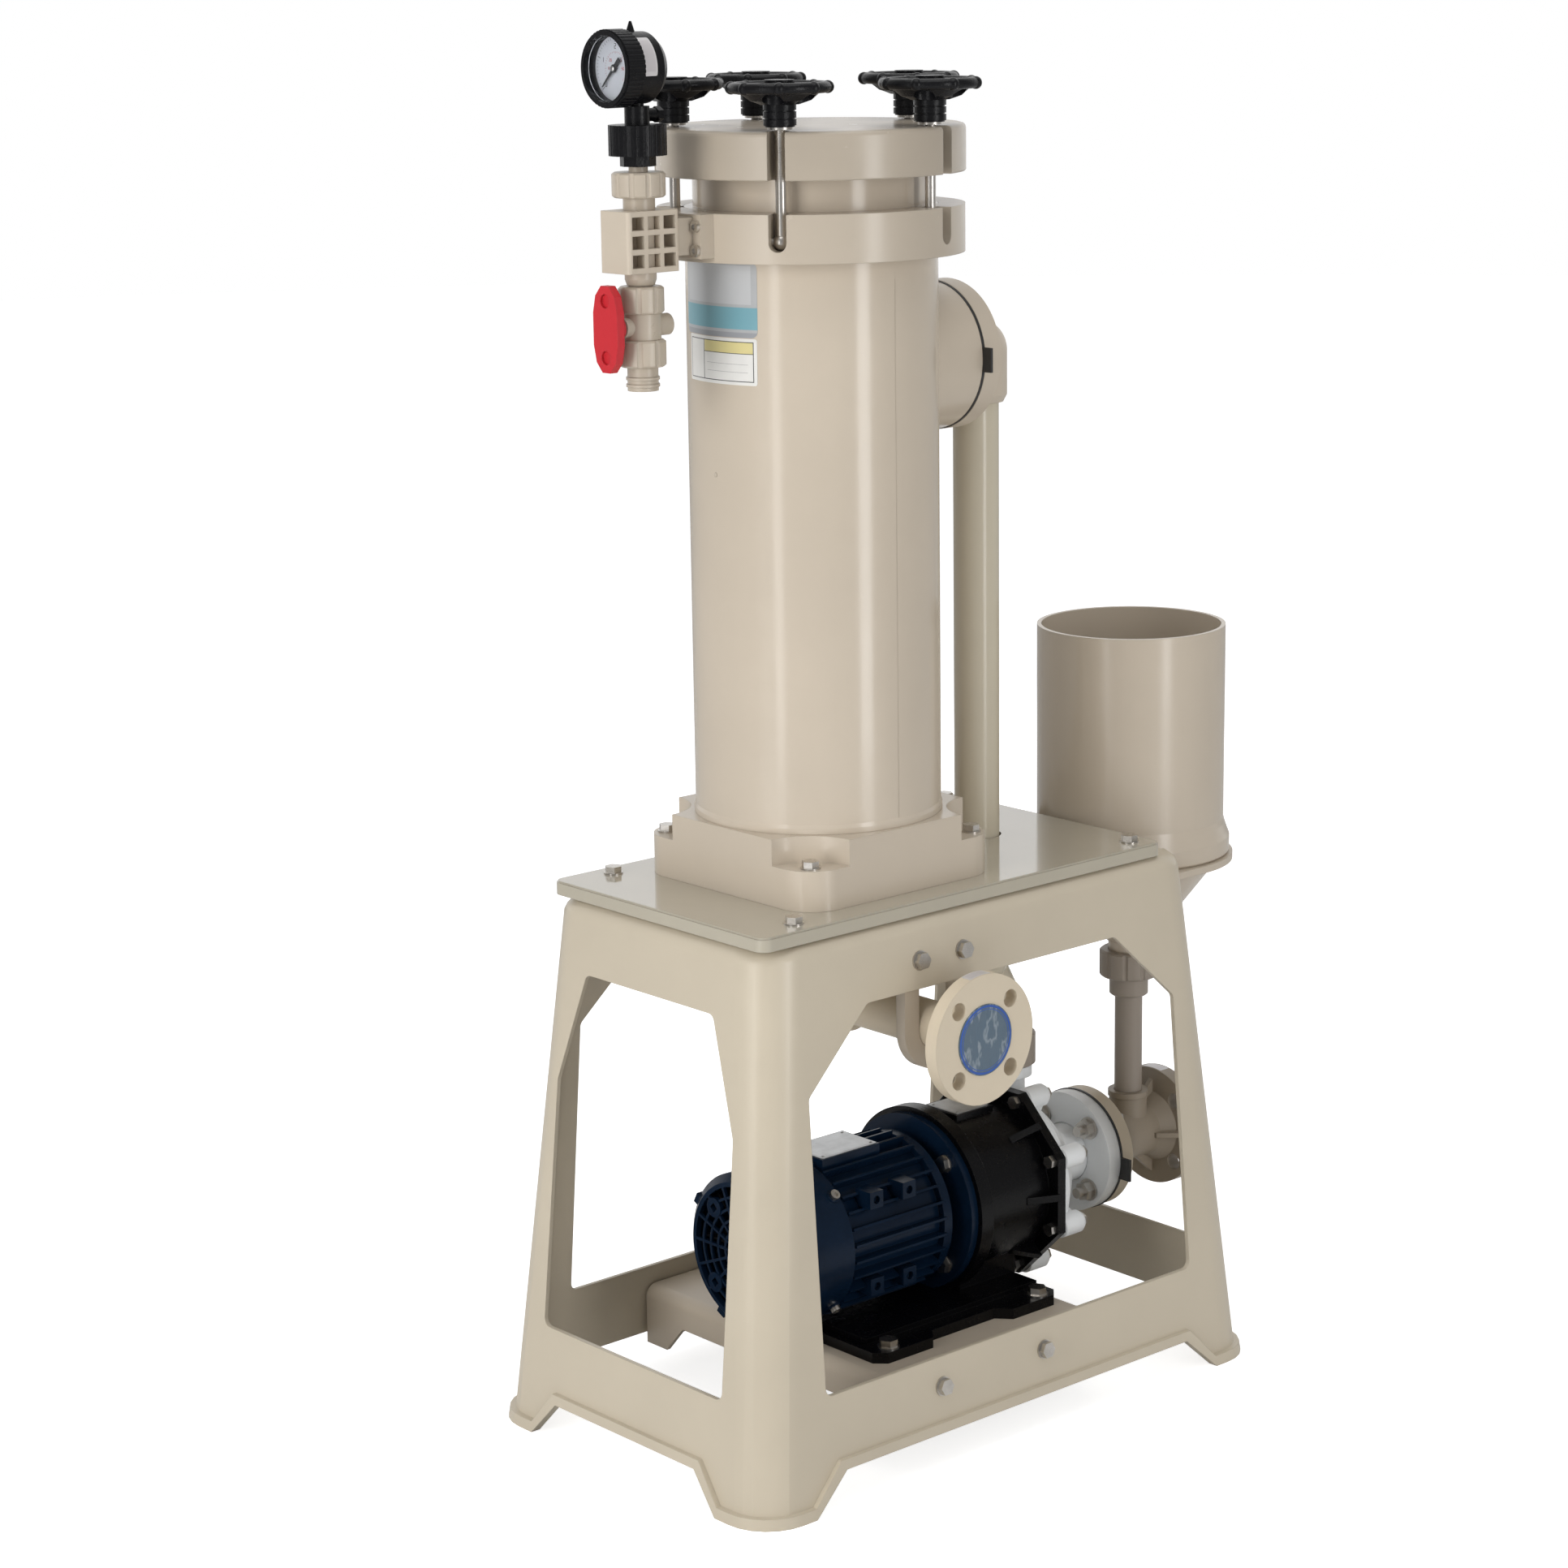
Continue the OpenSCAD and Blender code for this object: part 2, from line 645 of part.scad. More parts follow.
module column_pipe() {
  color(beige) translate([-col_x, 0, 0]) difference() {
    union() {
      translate([0, 0, 1254]) cylinder(r = col_pipe, h = 80);
      translate([0, 0, 1248]) cylinder(r1 = 14, r2 = col_pipe, h = 6);
      translate([0, 0, 1227]) cylinder(r = 12, h = 22);
      translate([0, 0, 1334]) cylinder(r = 9.6, h = 38);
    }
    translate([0, 0, 1226]) cylinder(r = 7, h = 150);
  }
}

module union_nut(r, bore, h, ribs) {
  difference() {
    union() {
      translate([0, 0, 2]) cylinder(r = r, h = h - 4);
      cylinder(r1 = r - 2.5, r2 = r, h = 2);
      translate([0, 0, h - 2]) cylinder(r1 = r, r2 = r - 2.5, h = 2);
    }
    tube_cut(bore, h);
    grips(r + 1.6, ribs, 3.4, h);
  }
}

module column_nuts() {
  color(beige) translate([-col_x, 0, 0]) union() {
    translate([0, 0, 1334.2]) union_nut(26.8, 10, 25, 10);
    translate([0, 0, valve_z + 13]) union_nut(23, 12.4, 27, 8);
    translate([0, 0, valve_z - 40]) union_nut(24, 12.4, 27, 8);
  }
}

module gauge_adapter() {
  color(black) translate([-col_x, 0, 0]) difference() {
    union() {
      translate([0, 0, 1364.6]) cylinder(r = 18, h = 11, $fn = 8);
      translate([0, 0, 1375]) cylinder(r = 29, h = 30);
      translate([0, 0, 1405]) cylinder(r = 12.5, h = 18);
      translate([0, 0, 1414]) rotate([0, 90, 0]) cylinder(r = 6.5, h = 27);
      translate([22, 0, 1414]) rotate([0, 90, 0]) cylinder(r = 8, h = 7, $fn = 6);
    }
    translate([0, 0, 1364]) cylinder(r = 10, h = 10);
    translate([0, 0, 1370]) cylinder(r = 7.3, h = 60);
    translate([0, 0, 1375]) grips(30.2, 28, 1.9, 30);
  }
}

module gauge_case() {
  color(black) union() {
    difference() {
      union() {
        along_x(-250, 0, gauge_z) cylinder(r = 35, h = 30);
        along_x(-220, 0, gauge_z) cylinder(r1 = 35, r2 = 29, h = 8);
        along_x(-268, 0, gauge_z) cylinder(r = bezel_r - 1.5, h = 2);
        along_x(-266, 0, gauge_z) cylinder(r = bezel_r, h = 20);
      }
      along_x(-270, 0, gauge_z) cylinder(r = 32.4, h = 18);
      along_x(-266, 0, gauge_z) grips(bezel_r + 0.9, 48, 1.5, 20);
    }
    translate([-col_x, 0, 1402]) cylinder(r = 7, h = 40);
    translate([-234, 0, gauge_z + 33]) cylinder(r1 = 5, r2 = 1.2, h = 12);
  }
}

module gauge_dial() {
  color(white) along_x(-252.6, 0, gauge_z) ring(31.8, 1.6, 0.6);
}

module gauge_pointer() {
  color(black) along_x(-256, 0, gauge_z) union() {
    cylinder(r = 4, h = 1);
    translate([0, 0, 0]) cylinder(r = 1.5, h = 3.8);
    rotate([0, 0, -45]) linear_extrude(height = 1) polygon([[2.2, -13], [-2.2, -13], [-0.5, 25], [0.5, 25]]);
  }
}

module gauge_window() {
  color([0.8, 0.9, 1.0, 0.35]) along_x(-262, 0, gauge_z) cylinder(r = 32.1, h = 1.6);
}

module valve_body() {
  color(beige) translate([-col_x, 0, valve_z]) difference() {
    union() {
      translate([0, 0, -13]) cylinder(r = 19.4, h = 26);
      translate([0, 0, -55]) cylinder(r = 12, h = 70);
      translate([0, 0, -64]) cylinder(r = 15.6, h = 23.5);
      translate([0, 0, -60]) cylinder(r = 17, h = 3);
      translate([0, 0, -53]) cylinder(r = 17, h = 3);
      rotate([0, 90, 0]) cylinder(r = 11, h = 33);
      translate([-26, 0, 0]) rotate([0, 90, 0]) cylinder(r = 10, h = 20);
      translate([0, 0, 12]) cylinder(r = 12, h = 7);
    }
    sphere(r = 13.4);
    translate([0, 0, -70]) cylinder(r = 8, h = 100);
    translate([0, 0, -10.6]) cylinder(r = 12.2, h = 21.2);
    translate([-40, 0, 0]) rotate([0, 90, 0]) cylinder(r = 5.06, h = 40);
  }
}

module valve_seats() {
  color(white) translate([-col_x, 0, valve_z]) difference() {
    union() {
      translate([0, 0, 6.6]) cylinder(r = 12, h = 3.9);
      translate([0, 0, -10.5]) cylinder(r = 12, h = 3.9);
    }
    translate([0, 0, -20]) cylinder(r = 8, h = 40);
    sphere(r = 12.35);
  }
}

module valve_ball() {
  color(cream) translate([-col_x, 0, valve_z]) difference() {
    union() {
      sphere(r = 12);
      translate([-38, 0, 0]) rotate([0, 90, 0]) cylinder(r = 5, h = 30);
    }
    translate([0, 0, -20]) cylinder(r = 7, h = 40);
  }
}

module valve_handle() {
  color(red) translate([-col_x - 46.5, 0, valve_z]) rotate([0, 90, 0]) difference() {
    union() {
      linear_extrude(height = 9) polygon([[-43, -6], [-43, 6], [-33, 15], [-16, 19], [16, 19], [33, 15], [43, 6], [43, -6], [33, -15], [16, -19], [-16, -19], [-33, -15]]);
      cylinder(r = 12, h = 17);
    }
    translate([0, 0, 8.5]) cylinder(r = 5.05, h = 10);
    for (s = [-1, 1]) translate([s * 28, 0, -1]) cylinder(r = 7, h = 4);
  }
}

// Outlet
module outlet_line() {
  color(cream) difference() {
    union() {
      translate([outlet_x, -outlet_y, outlet_z]) rotate([-90, 0, 0]) cylinder(r = flange_r, h = flange_t);
      translate([outlet_x, -outlet_y, outlet_z]) rotate([-90, 0, 0]) cylinder(r = 32, h = 42);
      translate([outlet_x, -outlet_y, outlet_z]) rotate([-90, 0, 0]) cylinder(r = pipe_r, h = outlet_y);
      translate([outlet_x, -44, outlet_z]) rotate([-90, 0, 0]) cylinder(r = 33, h = 44);
      translate([outlet_x, 0, outlet_z]) sphere(r = 33.4);
      translate([outlet_x, 0, outlet_z]) cylinder(r = 33, h = 44);
      translate([outlet_x, 0, outlet_z]) cylinder(r = pipe_r, h = plate_z + 30 - outlet_z);
    }
    translate([outlet_x, -outlet_y - 1, outlet_z]) rotate([-90, 0, 0]) cylinder(r = pipe_in, h = outlet_y + 1);
    translate([outlet_x, 0, outlet_z]) sphere(r = pipe_in + 0.4);
    translate([outlet_x, 0, outlet_z]) cylinder(r = pipe_in, h = 300);
    for (a = [45:90:315]) translate([outlet_x, -outlet_y - 1, outlet_z]) rotate([-90, 0, 0]) rotate([0, 0, a]) translate([flange_pcr, 0, 0]) cylinder(r = flange_hole, h = 30);
  }
}

module outlet_cap() {
  color([0.25, 0.45, 0.75]) translate([outlet_x, -outlet_y - 1.2, outlet_z]) rotate([-90, 0, 0]) union() {
    cylinder(r = 38, h = 1.2);
    cylinder(r = pipe_in - 0.5, h = 8);
  }
}

module outlet_hanger() {
  color(beige) translate([outlet_x, 64.5 - stand_wid / 2, outlet_z]) rotate([90, 0, 0]) difference() {
    union() {
      cylinder(r = 46, h = 13);
      translate([-46, 0, 0]) cube([92, hang_top - outlet_z, 13]);
    }
    tube_cut(pipe_r + 0.4, 13);
    translate([-pipe_r - 0.4, 0, -1]) cube([2 * pipe_r + 0.8, 120, 20]);
    for (x = [-31, 31]) translate([x, hang_z - outlet_z, -1]) cylinder(r = 6.8, h = 20);
  }
}

// Motor
module motor_frame() {
  color(navy) difference() {
    union() {
      at_pump(-50) cylinder(r = 78, h = 140);
      for (i = [0:29]) at_pump(-48) rotate([0, 0, i * 12]) translate([76, -1.5, 0]) cube([fin_r - 76, 3, 134]);
      at_pump(84) cylinder(r = 86, h = 12);
      at_pump(96) cylinder(r1 = 86, r2 = 66, h = 17);
      at_pump(112) cylinder(r = motor_flange, h = 10);
      for (x = [-24, 24]) {
        for (z = [44, -54]) translate([x, py - 84, pump_z + z]) cube([19, 24, 19]);
      }
      translate([-44, py - 30, pump_z + 70]) cube([84, 60, 22]);
      translate([-34, py + 70, pump_z - 42]) cube([96, 46, 84]);
      translate([-49.8, py + 94, pump_z - 14]) rotate([0, 90, 0]) cylinder(r = 12, h = 24);
      for (a = [45:90:315]) at_pump(86) rotate([0, 0, a]) translate([82, 0, 0]) cylinder(r = 8, h = 10);
    }
    at_pump(-40) cylinder(r = 41, h = 120);
    at_pump(-51) cylinder(r = 68, h = 5);
    at_pump(-36) cylinder(r = 66, h = 10);
    at_pump(68) cylinder(r = 66, h = 10);
    at_pump(-60) cylinder(r = 9.56, h = 200);
    translate([-51, py + 94, pump_z - 14]) rotate([0, 90, 0]) cylinder(r = 6.5, h = 21.2);
    for (a = [45:90:315]) at_pump(101) rotate([0, 0, a]) translate([motor_pcr, 0, 0]) cylinder(r = 11, h = 11);
    for (x = [-24, 24]) {
      for (z = [44, -54]) translate([x + 9.5, py - 90, pump_z + z + 9.5]) rotate([-90, 0, 0]) cylinder(r = 4.5, h = 12);
    }
    for (a = [45:90:315]) at_pump(100) rotate([0, 0, a]) translate([motor_pcr, 0, 0]) cylinder(r = 5.4, h = 30);
  }
}

module cover_screw_places() {
  for (a = [45:90:315]) at_pump(-58) rotate([0, 0, a]) rotate([0, 90, 0]) translate([0, 0, 89.5]) children();
}

module fan_cover() {
  color(navy) difference() {
    union() {
      difference() {
        union() {
          at_pump(-128) cylinder(r = fan_cover_r, h = 77.8);
          at_pump(-136) cylinder(r1 = fan_cover_r - 9, r2 = fan_cover_r, h = 8);
        }
        at_pump(-129) cylinder(r = fan_cover_r - 3, h = 79);
        at_pump(-140) cylinder(r = fan_cover_r - 14, h = 20);
      }
      at_pump(-136.6) cylinder(r = 15, h = 5);
      for (r = [26, 38, 50, 62]) at_pump(-135.6) ring(r + 1.5, r - 1.5, 3.2);
      for (a = [0:22.5:337.5]) at_pump(-136) rotate([0, 0, a]) translate([10, -1.5, 0]) cube([66, 3, 4]);
      for (a = [45:90:315]) at_pump(-137) rotate([0, 0, a]) translate([60, 0, 0]) cylinder(r = 11, h = 5.6);
      cover_screw_places() translate([0, 0, -3.9]) cylinder(r = 7.5, h = 3.9);
      for (a = [0:90:270]) at_pump(-130) rotate([0, 0, a + 28]) translate([84, -6, 0]) cube([8, 12, 12]);
    }
    for (a = [45:90:315]) at_pump(-140) rotate([0, 0, a]) translate([60, 0, 0]) cube([8, 8, 20], center = true);
    cover_screw_places() translate([0, 0, -8]) cylinder(r = 2.9, h = 12);
  }
}

module cooling_fan() {
  color(black) difference() {
    union() {
      at_pump(-120) cylinder(r = 22, h = 24);
      at_pump(-100) cylinder(r = 60, h = 3);
      for (i = [0:7]) at_pump(-122) rotate([0, 0, i * 45]) translate([18, -1.2, 0]) cube([56, 2.4, 24]);
    }
    at_pump(-125) cylinder(r = 9.55, h = 30);
  }
}

module motor_rotor() {
  color(steel) union() {
    at_pump(-124) cylinder(r = 9.5, h = 296);
    at_pump(-20) cylinder(r = 40, h = 86);
    at_pump(168) cylinder(r = 62, h = 8);
    at_pump(168) ring(62, 50, 66);
  }
}

// Pump
module bracket_ribs() {
  for (a = [0:45:315]) at_pump(205) rotate([0, 0, a]) translate([84, -4, 0]) rotate([90, 0, 0]) translate([0, 0, -8]) linear_extrude(height = 8) polygon([[0, 0], [9, 0], [26, 36], [0, 36]]);
}

module pump_bracket() {
  color(black) difference() {
    union() {
      at_pump(122) cylinder(r = 106, h = 18);
      at_pump(138) cylinder(r1 = 98, r2 = 92, h = 14);
      at_pump(150) cylinder(r = 92, h = 92);
      at_pump(240) rotate([0, 0, 22.5]) cylinder(r = bracket_flat / cos(22.5), h = 12, $fn = 8);
      bracket_ribs();
      translate([160, py - 27, pump_z + 86]) cube([56, 54, 9]);
      translate([-58, py - foot_w, tray_z]) linear_extrude(height = 12) polygon([[0, 12], [12, 0], [78, 0], [92, 16], [186, 16], [200, 0], [263, 0], [275, 12], [275, 2 * foot_w - 12], [263, 2 * foot_w], [200, 2 * foot_w], [186, 2 * foot_w - 16], [92, 2 * foot_w - 16], [78, 2 * foot_w], [12, 2 * foot_w], [0, 2 * foot_w - 12]]);
      translate([-46, py - foot_w + 34, tray_z + 12]) cube([258, 2 * foot_w - 68, 6]);
      translate([130, py - 62, tray_z + 10]) cube([86, 124, 46]);
    }
    at_pump(115) cylinder(r = 66, h = 150);
    at_pump(111.5) cylinder(r = motor_flange + 0.3, h = 10.5);
    for (a = [45:90:315]) at_pump(115) rotate([0, 0, a]) translate([motor_pcr, 0, 0]) cylinder(r = 5.2, h = 24);
    for (a = [22.5:45:337.5]) at_pump(236) rotate([0, 0, a]) translate([casing_pcr, 0, 0]) cylinder(r = 4.4, h = 30);
    foot_bolt_places() translate([0, 0, -30]) cylinder(r = 5.4, h = 40);
  }
}

module casing_lobe() {
  difference() {
    union() {
      cylinder(r = 13, h = 28);
      cylinder(r = 10.5, h = 32);
      translate([-50, -9, 8]) cube([48, 18, 18]);
    }
    translate([0, 0, -10]) cylinder(r = 4.4, h = 60);
  }
}

module pump_casing() {
  color(white) difference() {
    union() {
      at_pump(252) rotate_extrude() polygon([[0, 0], [99, 0], [99, 14], [96, 17], [75, 42], [60, 44], [44, 56], [34, 62], [34, 121.6], [44.8, 121.6], [44.8, 127], [0, 127]]);
      for (a = [22.5:45:337.5]) at_pump(252) rotate([0, 0, a]) translate([casing_pcr, 0, 0]) casing_lobe();
      translate([disc_x, disc_y, pump_z + 20]) cylinder(r = 22, h = 98);
      translate([disc_x, disc_y, pump_z + 111]) cylinder(r = 30, h = 12.8);
    }
    at_pump(251) cylinder(r = 80.4, h = 5.2);
    at_pump(251) cylinder(r = 68, h = 39);
    at_pump(280) cylinder(r = 22, h = 110);
    translate([disc_x, disc_y, pump_z + 20]) cylinder(r = 15, h = 120);
  }
}

module flange_slots(r, w, len) {
  for (sy = [-1, 1]) {
    for (sz = [-1, 1]) translate([0, sy * r, sz * r]) rotate([0, 90, 0]) union() {
      cube([2 * w, len - 2 * w, 60], center = true);
      for (e = [-1, 1]) translate([0, e * (len / 2 - w), 0]) cylinder(r = w, h = 60, center = true);
    }
  }
}

module suction_flange() {
  color(white) difference() {
    at_pump(361) cylinder(r = flange_r, h = 18);
    at_pump(360) cylinder(r = 34.4, h = 30);
    at_pump(373.2) cylinder(r = 45.4, h = 30);
    translate([370, py, pump_z]) flange_slots(flange_pcr * cos(45), flange_hole, 27);
  }
}

module pump_bolts() {
  color(steel) union() {
    for (a = [22.5:45:337.5]) at_pump(0) rotate([0, 0, a]) translate([casing_pcr, 0, 0]) union() {
      translate([0, 0, 233.5]) hex(13, 6.5);
      translate([0, 0, 236]) cylinder(r = 4, h = 56);
      translate([0, 0, 284]) hex(13, 6);
    }
    for (a = [45:90:315]) at_pump(0) rotate([0, 0, a]) translate([flange_pcr, 0, 0]) union() {
      translate([0, 0, 359]) cylinder(r = 13, h = 2);
      translate([0, 0, 349]) hex(19, 10);
      translate([0, 0, 340]) cylinder(r = 6, h = 72);
      translate([0, 0, 400]) cylinder(r = 10.4, h = 2);
      translate([0, 0, 402]) hex(17, 8);
    }
    for (a = [45:90:315]) at_pump(0) rotate([0, 0, a]) translate([motor_pcr, 0, 0]) union() {
      translate([0, 0, 110]) cylinder(r = 10, h = 2);
      translate([0, 0, 103]) hex(16, 7);
      translate([0, 0, 108]) cylinder(r = 5, h = 28);
    }
    cover_screw_places() cap_screw(5.5, 2.6, 8);
  }
}

module isolation_can() {
  color(grey) union() {
    at_pump(252) ring(80, 46, 3.8);
    at_pump(182) ring(48, 46, 72);
    at_pump(179) cylinder(r = 48, h = 4);
    at_pump(180) cylinder(r = 6, h = 108);
  }
}

module impeller() {
  color(black) difference() {
    union() {
      at_pump(190) cylinder(r = 43, h = 58);
      at_pump(246) cylinder(r = 20, h = 18);
      at_pump(262) cylinder(r = 64, h = 4);
      at_pump(282) cylinder(r = 64, h = 3);
      for (i = [0:5]) at_pump(264) rotate([0, 0, i * 60]) translate([26, -2, 0]) cube([37, 4, 19]);
    }
    at_pump(180) cylinder(r = 6.06, h = 120);
    at_pump(280) cylinder(r = 21, h = 12);
  }
}

// Suction side and tank
module suction_tee() {
  color(cream) difference() {
    union() {
      at_pump(382) cylinder(r = flange_r, h = 18);
      at_pump(400) cylinder(r1 = 42, r2 = 31, h = 16);
      at_pump(390) cylinder(r = 31, h = 128);
      at_pump(504) cylinder(r = flange_r, h = 18);
      at_pump(488) cylinder(r1 = 31, r2 = 42, h = 16);
      translate([tank_x, py, pump_z]) cylinder(r = 22, h = 52);
      translate([tank_x, py, pump_z + 46]) cylinder(r = 23.5, h = 7);
      for (a = [0:90:270]) at_pump(478) rotate([0, 0, a]) translate([28, -3, 0]) rotate([90, 0, 0]) translate([0, 0, -6]) linear_extrude(height = 6) polygon([[0, 0], [6, 0], [30, 27], [0, 27]]);
    }
    at_pump(381) cylinder(r = 22, h = 150);
    translate([tank_x, py, pump_z]) cylinder(r = 12, h = 60);
    translate([tank_x, py, pump_z + 34]) cylinder(r = 16.3, h = 30);
    for (a = [45:90:315]) at_pump(376) rotate([0, 0, a]) translate([flange_pcr, 0, 0]) cylinder(r = 7, h = 30);
    for (a = [45:90:315]) at_pump(496) rotate([0, 0, a]) translate([flange_pcr, 0, 0]) cylinder(r = flange_hole, h = 40);
  }
}

module tank_pipe() {
  color(grey) translate([tank_x, py, 0]) difference() {
    union() {
      translate([0, 0, pump_z + 34.5]) cylinder(r = 16, h = union_z - pump_z - 34.5);
      translate([0, 0, union_z - 21]) cylinder(r = 22.5, h = 20.8);
      translate([0, 0, union_z - 23]) cylinder(r1 = 20, r2 = 22.5, h = 2);
      translate([0, 0, union_z - 2]) cylinder(r = 24, h = 8);
    }
    translate([0, 0, 240]) cylinder(r = 12.5, h = 200);
  }
}

module drain_nuts() {
  color(grey) union() {
    translate([tank_x, py, union_z]) difference() {
      union_nut(34, 24.4, 32, 10);
    }
    translate([disc_x, disc_y, pump_z + 124]) union_nut(34, pipe_r + 0.3, 38, 10);
  }
}

module tank() {
  ri = tank_r - tank_wall;
  color(beige) translate([tank_x, py, 0]) rotate_extrude() polygon([[tank_r, tank_z], [tank_r, shelf_z + 49], [tank_r + 1.5, shelf_z + 43], [band_r - 2, shelf_z + 33], [band_r, shelf_z + 28], [band_r, shelf_z + 11], [band_r - 3, shelf_z + 8], [tank_r + 1, shelf_z + 8], [27, shelf_z - 99], [24, shelf_z - 99], [24, union_z + 7], [14, union_z + 7], [14, shelf_z - 95], [ri, shelf_z + 21], [ri, tank_z]]);
}

module tank_shelf() {
  color(beige) difference() {
    union() {
      translate([tank_x, py, shelf_z]) cylinder(r = band_r + 4, h = 8);
      translate([shelf_x, py - 118, shelf_z]) cube([tank_x - shelf_x, 236, 8]);
      translate([shelf_x, py - 118, shelf_z]) cube([6, 236, stand_h - deck_t - shelf_z]);
      translate([shelf_x - 42, py - 118, stand_h - deck_t - 6]) cube([48, 236, 6]);
    }
    translate([tank_x, py, shelf_z - 5]) cylinder(r = tank_r + 1.4, h = 20);
    shelf_bolt_places() cylinder(r = 4.4, h = 60, center = true);
  }
}

translate([shift_x, shift_y, 0]) {
  stand();
  top_plate();
  pump_tray();
  frame_bolts();
  vessel_base();
  barrel();
  collar();
  lid();
  lid_seal();
  swing_bolt(1);  // swing_bolt_1
  swing_bolt(2);  // swing_bolt_2
  swing_bolt(3);  // swing_bolt_3
  swing_bolt(4);  // swing_bolt_4
  swing_bolt(5);  // swing_bolt_5
  lid_washer(1);  // lid_washer_1
  lid_washer(2);  // lid_washer_2
  lid_washer(3);  // lid_washer_3
  lid_washer(4);  // lid_washer_4
  lid_washer(5);  // lid_washer_5
  handwheel(1);  // handwheel_1
  handwheel(2);  // handwheel_2
  handwheel(3);  // handwheel_3
  handwheel(4);  // handwheel_4
  handwheel(5);  // handwheel_5
  seat_plate();
  cartridges();
  retainer();
  gaskets();
  inlet_elbow();
  riser_pipe();
  column_clamp();
  column_pipe();
  column_nuts();
  gauge_adapter();
  gauge_case();
  gauge_dial();
  gauge_pointer();
  gauge_window();
  valve_body();
  valve_handle();
  valve_ball();
  valve_seats();
  outlet_line();
  outlet_cap();
  outlet_hanger();
  motor_frame();
  fan_cover();
  cooling_fan();
  motor_rotor();
  pump_bracket();
  pump_casing();
  suction_flange();
  pump_bolts();
  isolation_can();
  impeller();
  suction_tee();
  tank();
  tank_shelf();
  drain_nuts();
  tank_pipe();
}
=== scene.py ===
import json
import math

import bmesh
import bpy
from mathutils import Matrix, Vector


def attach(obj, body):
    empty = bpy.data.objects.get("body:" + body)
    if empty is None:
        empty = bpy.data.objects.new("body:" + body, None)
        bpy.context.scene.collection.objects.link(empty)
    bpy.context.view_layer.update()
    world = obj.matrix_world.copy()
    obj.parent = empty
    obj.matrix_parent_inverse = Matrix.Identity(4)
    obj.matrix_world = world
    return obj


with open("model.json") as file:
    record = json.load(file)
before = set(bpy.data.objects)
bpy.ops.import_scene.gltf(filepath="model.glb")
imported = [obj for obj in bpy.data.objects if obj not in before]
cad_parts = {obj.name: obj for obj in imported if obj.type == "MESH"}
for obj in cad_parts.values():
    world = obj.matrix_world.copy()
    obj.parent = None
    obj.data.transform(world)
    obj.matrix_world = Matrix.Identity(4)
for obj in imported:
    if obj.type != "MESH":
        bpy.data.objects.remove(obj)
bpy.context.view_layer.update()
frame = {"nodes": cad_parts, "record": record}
NODES = frame["nodes"]
SCENE = bpy.context.scene
UP, XP, XM, YP, YM = (0, 0, 1), (1, 0, 0), (-1, 0, 0), (0, 1, 0), (0, -1, 0)

AXIS_X, AXIS_Y = -0.1445, 0.0071  # vessel axis in the row frame, metres

# sizes and places of the object, in millimetres from the vessel axis
BARREL_R = 131
ROD_CIRCLE_R = 140
GAUGE_Z = 1460
FLANGE_R = 70
OUTLET_X, OUTLET_Z = 8.5, 468.7
PUMP_Y, PUMP_Z = -18, 210


def at(x, y, z):
    """A point given in millimetres from the vessel axis, in the row frame."""
    return Vector((x / 1000 + AXIS_X, y / 1000 + AXIS_Y, z / 1000))


def new_object(name, data):
    obj = bpy.data.objects.new(name, data)
    SCENE.collection.objects.link(obj)
    return obj


# ---------------------------------------------------------------- camera
CAM_POS = at(-2533.67, -2833.75, 1571.84)
CAM_ROWS = ((0.7495742445, -0.6617613413, -0.0145044491),
            (-0.1581847260, -0.1578113699, -0.9747169661),
            (0.6427410398, 0.7329171159, -0.2229718748))
FOCAL_PX, IMAGE_PX = 4500.11, 1932
SENSOR_MM = 36

cam_data = bpy.data.cameras.new("camera")
cam = new_object("camera", cam_data)
right, down, ahead = (Vector(r) for r in CAM_ROWS)
rot = Matrix((right, -down, -ahead)).transposed()
cam.matrix_world = Matrix.Translation(CAM_POS) @ rot.to_4x4()
cam_data.sensor_width = SENSOR_MM
cam_data.lens = SENSOR_MM * FOCAL_PX / IMAGE_PX
cam_data.clip_end = 50
SCENE.camera = cam


# ---------------------------------------------------------------- node helpers
BLACK, WHITE = (0, 0, 0), (1, 1, 1)


def add_node(tree, kind, **values):
    """A new node. Each value sets the input of that name, with _ for a space, or else the setting."""
    n = tree.nodes.new(kind)
    for key, value in values.items():
        socket = key.replace("_", " ")
        if socket in n.inputs:
            n.inputs[socket].default_value = value
        else:
            setattr(n, key, value)
    return n


